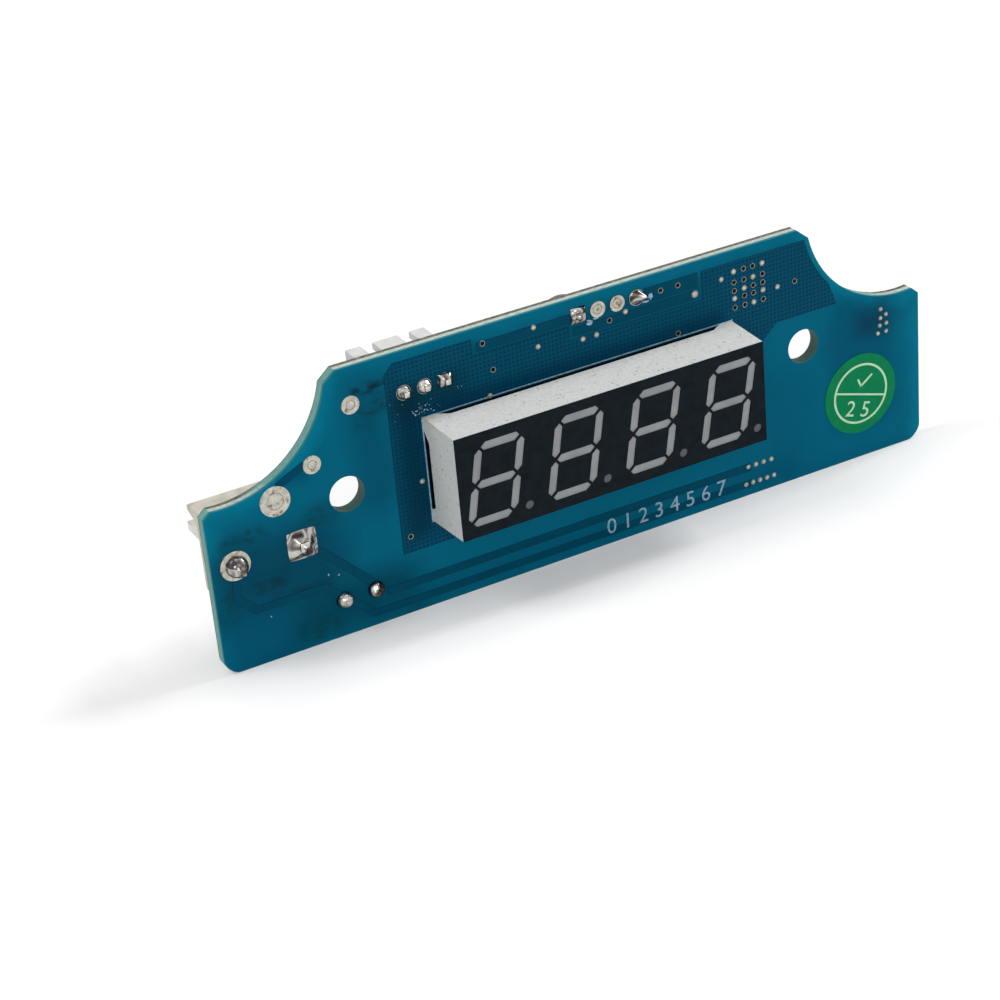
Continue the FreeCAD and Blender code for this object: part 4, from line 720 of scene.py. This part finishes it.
# Each flake's place and half size
places = [(1.5, 11.3, 0.4, 0.35), (2.4, 11.6, 0.35, 0.14), (9.6, 12.2, 0.3, 0.42),
          (8.9, 11.75, 0.5, 0.14), (-32.2, -9.3, 0.12, 0.12), (-33.4, -8.9, 0.1, 0.16),
          (-40.7, -11.6, 0.09, 0.09)]
places += [(scatter.uniform(-21.3, -18.6), scatter.uniform(6.6, 7.6), scatter.uniform(0.03, 0.1),
            scatter.uniform(0.03, 0.08)) for k in range(26)]
places += [(scatter.uniform(-24.0, -14.0), scatter.uniform(6.6, 9.0), scatter.uniform(0.03, 0.06),
            scatter.uniform(0.03, 0.06)) for k in range(18)]
for x, z, wide, tall in places:
    rim = bmesh.ops.create_circle(flakes, cap_ends=True, segments=10, radius=1.0)["verts"]
    for vert in rim:
        ragged = 1 + 0.7 * noise.noise(Vector((vert.co.x * 1.9 + x, vert.co.y * 1.9 + z, 0)))
        vert.co = Vector((vert.co.x * wide * ragged, vert.co.y * tall * ragged, 0))
    base = list(set(f for v in rim for f in v.link_faces))
    top = only(VERT, bmesh.ops.extrude_face_region(flakes, geom=base)["geom"])
    bmesh.ops.translate(flakes, verts=top, vec=(0, 0, FLAKE))
    bmesh.ops.transform(flakes, matrix=Matrix.Translation((x, -COPPER, z)) @ FRONT, verts=rim + top)
bmesh.ops.recalc_face_normals(flakes, faces=flakes.faces)
settle(flakes, "dried_flux", [flake])

# Pins. Square brass wire, tin plated and drawn, pressed through the headers and the display.
# Drawing leaves fine bright lines along each.
pin_tin = worn("tin_plated_brass", {"Metallic": 1.0},
               "#b4b0a4", "#d8d5cc", 0.4, (0.22, 0.38), 0.004, (1, 0.15, 1))
for node, soft in (("display_pins_upper", 0.05), ("display_pins_lower", 0.05), ("power_pins", 0.12),
                   ("signal_pins", 0.08)):
    settle(from_cad(node, soft), node + "_drawn", [pin_tin], [node])

# Power header. A friction-lock shell moulded in natural, slightly yellowed plastic, with a
# dusting of dirt in patches.
cream, tree, shader = new_finish("cream_moulding", {"IOR": 1.53})
place, mixed = wear_in(tree, shader, "#a8a496", "#bfbcaf", 1.4, (0.42, 0.6), 0.02)
grime = add_node(tree, "ShaderNodeTexNoise", {}, {"Vector": place, "Scale": 1 / (2.381 * MM),
                                                  "Detail": 6.0, "Roughness": 0.7})[0]
grime = add_node(tree, "ShaderNodeMapRange", {}, {"Value": grime, "From Min": 0.54,
                                                  "From Max": 0.72, "To Max": 0.7})[0]
grimed = add_node(tree, *BLEND, {0: grime, 6: mixed, 7: tone("#7f7768")})[2]
tree.links.new(grimed, shader.inputs["Base Color"])
settle(from_cad("power_header_shell", 0.12), "power_header_moulding", [cream],
       ["power_header_shell"])

# Signal header. A boxed shell in white plastic, slotted for the plug's ribs.
header_white = worn("white_header_moulding", {"IOR": 1.53},
                    "#bbbcb9", "#d0d0cd", 1.4, (0.42, 0.58), 0.02)
settle(from_cad("signal_header_shell", 0.08), "signal_header_moulding", [header_white],
       ["signal_header_shell"])

# Smoothing capacitor. A bright aluminium can in a shrunk dark sleeve, with a pale stripe by
# its negative lead, sealed by the board with a matt rubber plug.

STRIPE = 22  # degrees that the stripe reaches to each side
RADIAL_X, RADIAL_Z = -29.94, -12.56
drawn_can = worn("drawn_aluminium", {"Metallic": 1.0}, "#b6b8ba", "#d2d3d4", 0.8, (0.25, 0.4), 0.01)
settle(from_cad("radial_capacitor_can", 0.25, 3), "radial_can_drawn", [drawn_can],
       ["radial_capacitor_can"])
sleeve = worn("shrunk_sleeve", {"IOR": 1.53}, "#10131d", "#1a1f2c", 2.0, (0.18, 0.3), 0.006)
stripe = worn("sleeve_stripe", {"IOR": 1.53}, "#a5a9ad", "#b9bdc0", 1.0, (0.25, 0.35))
shell = from_cad("radial_capacitor_sleeve", 0.06)
for face in shell.faces:
    middle = face.calc_center_median()
    turn = math.degrees(math.atan2(middle.z - RADIAL_Z, middle.x - RADIAL_X))
    if abs(turn) < STRIPE and abs(face.normal.y) < 0.5:
        face.material_index = 1
settle(shell, "radial_sleeve_shrunk", [sleeve, stripe], ["radial_capacitor_sleeve"])
seal = worn("rubber_plug", {"IOR": 1.5}, "#141414", "#242424", 0.5, (0.7, 0.85), 0.01)
settle(from_cad("radial_capacitor_seal"), "radial_rubber_plug", [seal],
       ["radial_capacitor_seal"])
settle(from_cad("radial_capacitor_leads"), "radial_leads_drawn", [pin_tin],
       ["radial_capacitor_leads"])

# Chip capacitor can. A small drawn aluminium can, pressed into a black plastic base. Its top
# has dulled to a dark grey.
dulled_can = worn("dulled_aluminium", {"Metallic": 1.0}, "#5b5a56", "#7b7974", 0.5, (0.3, 0.45), 0.01)
settle(from_cad("surface_capacitor_can", 0.2, 3), "surface_can_drawn", [dulled_can],
       ["surface_capacitor_can"])
# Filled epoxy comes from the mould a matt black with a fine grain.
black_moulding = worn("black_filled_epoxy", {"IOR": 1.55},
                      "#131414", "#1e1f20", 0.35, (0.5, 0.7), 0.012)
settle(from_cad("surface_capacitor_base", 0.06), "surface_can_base", [black_moulding],
       ["surface_capacitor_base"])

# Chips, transistors and diode. Bodies moulded in black filled epoxy around tinned leads,
# which are bent to feet and soldered flat to the back of the board.
for node in ("regulator_body", "microcontroller", "driver_chip", "digit_transistors", "input_diode"):
    settle(from_cad(node, 0.07), node + "_moulding", [black_moulding], [node])
# Matt tin, greyer and more even than the solder around it.
leaded = worn("matt_tinned_lead", {"Metallic": 1.0}, "#a8a6a0", "#cac8c2", 0.3, (0.35, 0.5), 0.006)
FEET = ("regulator_tab", "regulator_leads", "microcontroller_leads", "driver_chip_leads",
        "transistor_leads", "input_diode_straps", "surface_capacitor_feet",
        "segment_resistors_ends", "chip_capacitors_ends")
for node in FEET:
    settle(from_cad(node, 0.025, 1), node + "_tinned", [leaded],
           [node])

# Rear lands. Tinned copper a little larger than each lead's foot, with solder drawn up
# around the foot, so that every part on the back sits in its own joint.
LAND, BESIDE, BEYOND = 0.1, 0.16, 0.5  # a land's height, and how much wider and longer it is
lands = bmesh.new()
for node in FEET:
    feet = from_cad(node)
    seen = set()
    for start in feet.verts:
        island, edge = [], [start]
        while edge:
            vert = edge.pop()
            if vert not in seen:
                seen.add(vert)
                island.append(vert.co)
                edge += [e.other_vert(vert) for e in vert.link_edges]
        low = [c for c in island if c.y < BOARD + 0.03]
        if low:
            left, right = min(c.x for c in low), max(c.x for c in low)
            under, over = min(c.z for c in low), max(c.z for c in low)
            tall = over - under > right - left
            wide = right - left + (BESIDE if tall else BEYOND)
            long = over - under + (BEYOND if tall else BESIDE)
            land = bmesh.ops.create_cube(lands, size=1.0)["verts"]
            bmesh.ops.scale(lands, vec=(wide, LAND, long), verts=land)
            bmesh.ops.translate(lands, verts=land,
                                vec=((left + right) / 2, BOARD + LAND / 2, (under + over) / 2))
    feet.free()
ease([e for e in lands.edges if all(v.co.y > BOARD + LAND / 2 for v in e.verts)], lands, 0.07)
settle(lands, "rear_lands", [dull_tin])

# Moulded and printed marks on the rear parts: a round dimple by the first lead of each chip
# and a grey band at one end of the diode, as such parts carry them.
dimple = worn("polished_dimple", {"IOR": 1.55}, "#0b0b0c", "#151516", 0.3, (0.15, 0.3))
band = worn("grey_band", {"IOR": 1.5}, "#7e8284", "#96999b", 0.5, (0.5, 0.7))
marks = bmesh.new()
for x, z, top in ((-16.1, 1.5, 1.4), (10.7, -2.1, 1.5)):
    disc(marks, (x, z, BACK), 0.4, top - INK / 2, top + INK / 2, 20, 0.01)
DIODE_X, DIODE_Z, DIODE_TOP = -31.3, -6.4, 2.1
strip = bmesh.ops.create_cube(marks, size=1.0)["verts"]
bmesh.ops.scale(marks, vec=(0.7, INK, 2.4), verts=strip)
bmesh.ops.translate(marks, verts=strip, vec=(DIODE_X, BOARD + DIODE_TOP, DIODE_Z))
for face in set(f for v in strip for f in v.link_faces):
    face.material_index = 1
settle(marks, "rear_part_marks", [dimple, band])

# Chip resistors and chip capacitors: alumina with a black glaze, and tan fired ceramic.
glaze = worn("black_resistor_glaze", {"IOR": 1.6}, "#0d0e10", "#191b1e", 0.3, (0.2, 0.35), 0.004)
settle(from_cad("segment_resistors", 0.03, 1), "segment_resistors_glazed", [glaze],
       ["segment_resistors"])
fired = worn("tan_fired_ceramic", {"IOR": 1.7}, "#8c7457", "#a78d6c", 0.3, (0.4, 0.6), 0.006)
settle(from_cad("chip_capacitors", 0.06), "chip_capacitors_fired", [fired],
       ["chip_capacitors"])

# Inspection sticker. A punched round of glossy green paper, printed in a pale ring with a
# bar across it, a plain tick above the bar and a plain number below.

STICKER_X, STICKER_Z, STICKER_OUT, TILT = 38.0, -8.6, 0.1, -17.0
RING_IN, RING_OUT = 3.62, 3.9
BAR_LONG, BAR_WIDE, STROKE = 7.3, 0.24, 0.26
paper = worn("green_coated_paper", {"IOR": 1.5, "Specular IOR Level": 0.05},
             "#037146", "#087c4d", 1.5, (0.35, 0.5), 0.004)
settle(from_cad("inspection_sticker", 0.03, 1), "sticker_paper", [paper],
       ["inspection_sticker"])
pale_ink = worn("pale_printed_ink", {"IOR": 1.5}, "#a3cba4", "#b9d8b6", 0.4, (0.4, 0.55))
mark = bmesh.new()
bmesh.ops.create_circle(mark, cap_ends=False, segments=72, radius=RING_IN)
outer = only(VERT, bmesh.ops.extrude_edge_only(mark, edges=mark.edges[:])["geom"])
bmesh.ops.scale(mark, vec=(RING_OUT / RING_IN, RING_OUT / RING_IN, 1), verts=outer)
lift = bmesh.ops.extrude_face_region(mark, geom=mark.faces[:])["geom"]
bmesh.ops.translate(mark, verts=only(VERT, lift), vec=(0, 0, INK))
turned = (Matrix.Translation((STICKER_X, -STICKER_OUT, STICKER_Z)) @ FRONT
          @ Matrix.Rotation(math.radians(TILT), 4, "Z"))
bar = bmesh.ops.create_cube(mark, size=1.0)["verts"]
bmesh.ops.scale(mark, vec=(BAR_LONG, BAR_WIDE, INK), verts=bar)
bmesh.ops.translate(mark, verts=bar, vec=(0, -0.1, INK / 2))
for x, z, long, turn in ((-0.55, 1.35, 1.1, -50), (0.42, 1.75, 2.0, 52)):
    stroke = bmesh.ops.create_cube(mark, size=1.0)["verts"]
    bmesh.ops.scale(mark, vec=(long, STROKE, INK), verts=stroke)
    bmesh.ops.rotate(mark, matrix=Matrix.Rotation(math.radians(turn), 3, "Z"), verts=stroke)
    bmesh.ops.translate(mark, verts=stroke, vec=(x, z, INK / 2))
bmesh.ops.recalc_face_normals(mark, faces=mark.faces)
bmesh.ops.transform(mark, matrix=turned, verts=mark.verts)
lettering(mark, "2 5", 2.0, STICKER_X - 0.45, STICKER_Z - 2.05, STICKER_OUT, TILT)
settle(mark, "sticker_print", [pale_ink])

# Table, light and camera. The board stands on its lower edge on a plain white table, with soft
# lamps high on its right and left, a faint one above it and a wide one in front on the left.

TABLE, TABLE_GLOW, ROOM_LIGHT = -17.1, 0.2, 0.36


def seen_straight(tree):
    """1 where the camera, a reflection or a clear surface looks, and 0 for scattered light."""
    path = add_node(tree, "ShaderNodeLightPath", {}, {})
    seen = add_node(tree, "ShaderNodeMath", {"operation": "MAXIMUM"},
                    {0: path["Is Camera Ray"], 1: path["Is Glossy Ray"]})[0]
    return add_node(tree, "ShaderNodeMath", {"operation": "MAXIMUM"},
                    {0: seen, 1: path["Is Transmission Ray"]})[0]


floor_mesh = bmesh.new()
bmesh.ops.create_grid(floor_mesh, x_segments=1, y_segments=1, size=3.0)
bmesh.ops.translate(floor_mesh, verts=floor_mesh.verts, vec=(0, 0, TABLE * MM))
floor_data = bpy.data.meshes.new("table_top")
floor_mesh.to_mesh(floor_data)
floor_mesh.free()
floor = bpy.data.objects.new("table_top", floor_data)
bpy.context.scene.collection.objects.link(floor)
table, tree, shader = new_finish("white_table", {"Roughness": 0.7})
shader.inputs["Base Color"].default_value = tone("#d8d8d8")
shader.inputs["Emission Color"].default_value = tone("#ffffff")
glow = add_node(tree, "ShaderNodeMath", {"operation": "MULTIPLY"},
                {0: seen_straight(tree), 1: TABLE_GLOW})[0]
tree.links.new(glow, shader.inputs["Emission Strength"])
floor_data.materials.append(table)

world = bpy.data.worlds.new("studio")
bpy.context.scene.world = world
world.use_nodes = True
tree = world.node_tree
level = add_node(tree, "ShaderNodeMapRange", {},
                 {"Value": seen_straight(tree), "To Min": ROOM_LIGHT})[0]
tree.links.new(level, tree.nodes["Background"].inputs["Strength"])
tree.nodes["Background"].inputs["Color"].default_value = tone("#ffffff")


def lamp(name, place, turn, wide, deep, watts):
    """A soft rectangular lamp at a place in metres, turned by angles in degrees."""
    data = bpy.data.lights.new(name, "AREA")
    data.shape, data.size, data.size_y, data.energy = "RECTANGLE", wide, deep, watts
    made = bpy.data.objects.new(name, data)
    made.location = place
    made.rotation_euler = [math.radians(a) for a in turn]
    bpy.context.scene.collection.objects.link(made)


lamp("soft_top", (0.0, 0.03, 1.35), (-1.3, 0, 0), 1.4, 0.5, 2.0)
lamp("soft_right", (1.2, 0.0, 1.15), (0, 46.2, 0), 0.5, 0.5, 15.0)
lamp("soft_left", (-0.9, 0.14, 1.2), (-6.7, -36.9, 0), 0.5, 0.5, 8.0)
lamp("soft_front", (-0.9, -1.9, 0.9), (67, 0, -25.3), 1.5, 1.5, 24.0)

view = bpy.data.cameras.new("view")
view.sensor_width, view.lens = 36.0, 93.93
view.clip_start, view.clip_end = 0.01, 20.0
camera = bpy.data.objects.new("view", view)
camera.location = (-0.12764, -0.232615, 0.130063)
camera.rotation_euler = [math.radians(a) for a in (62.1269, 4.7734, -29.0323)]
bpy.context.scene.collection.objects.link(camera)
bpy.context.scene.camera = camera
bpy.context.scene.view_settings.view_transform = "Standard"
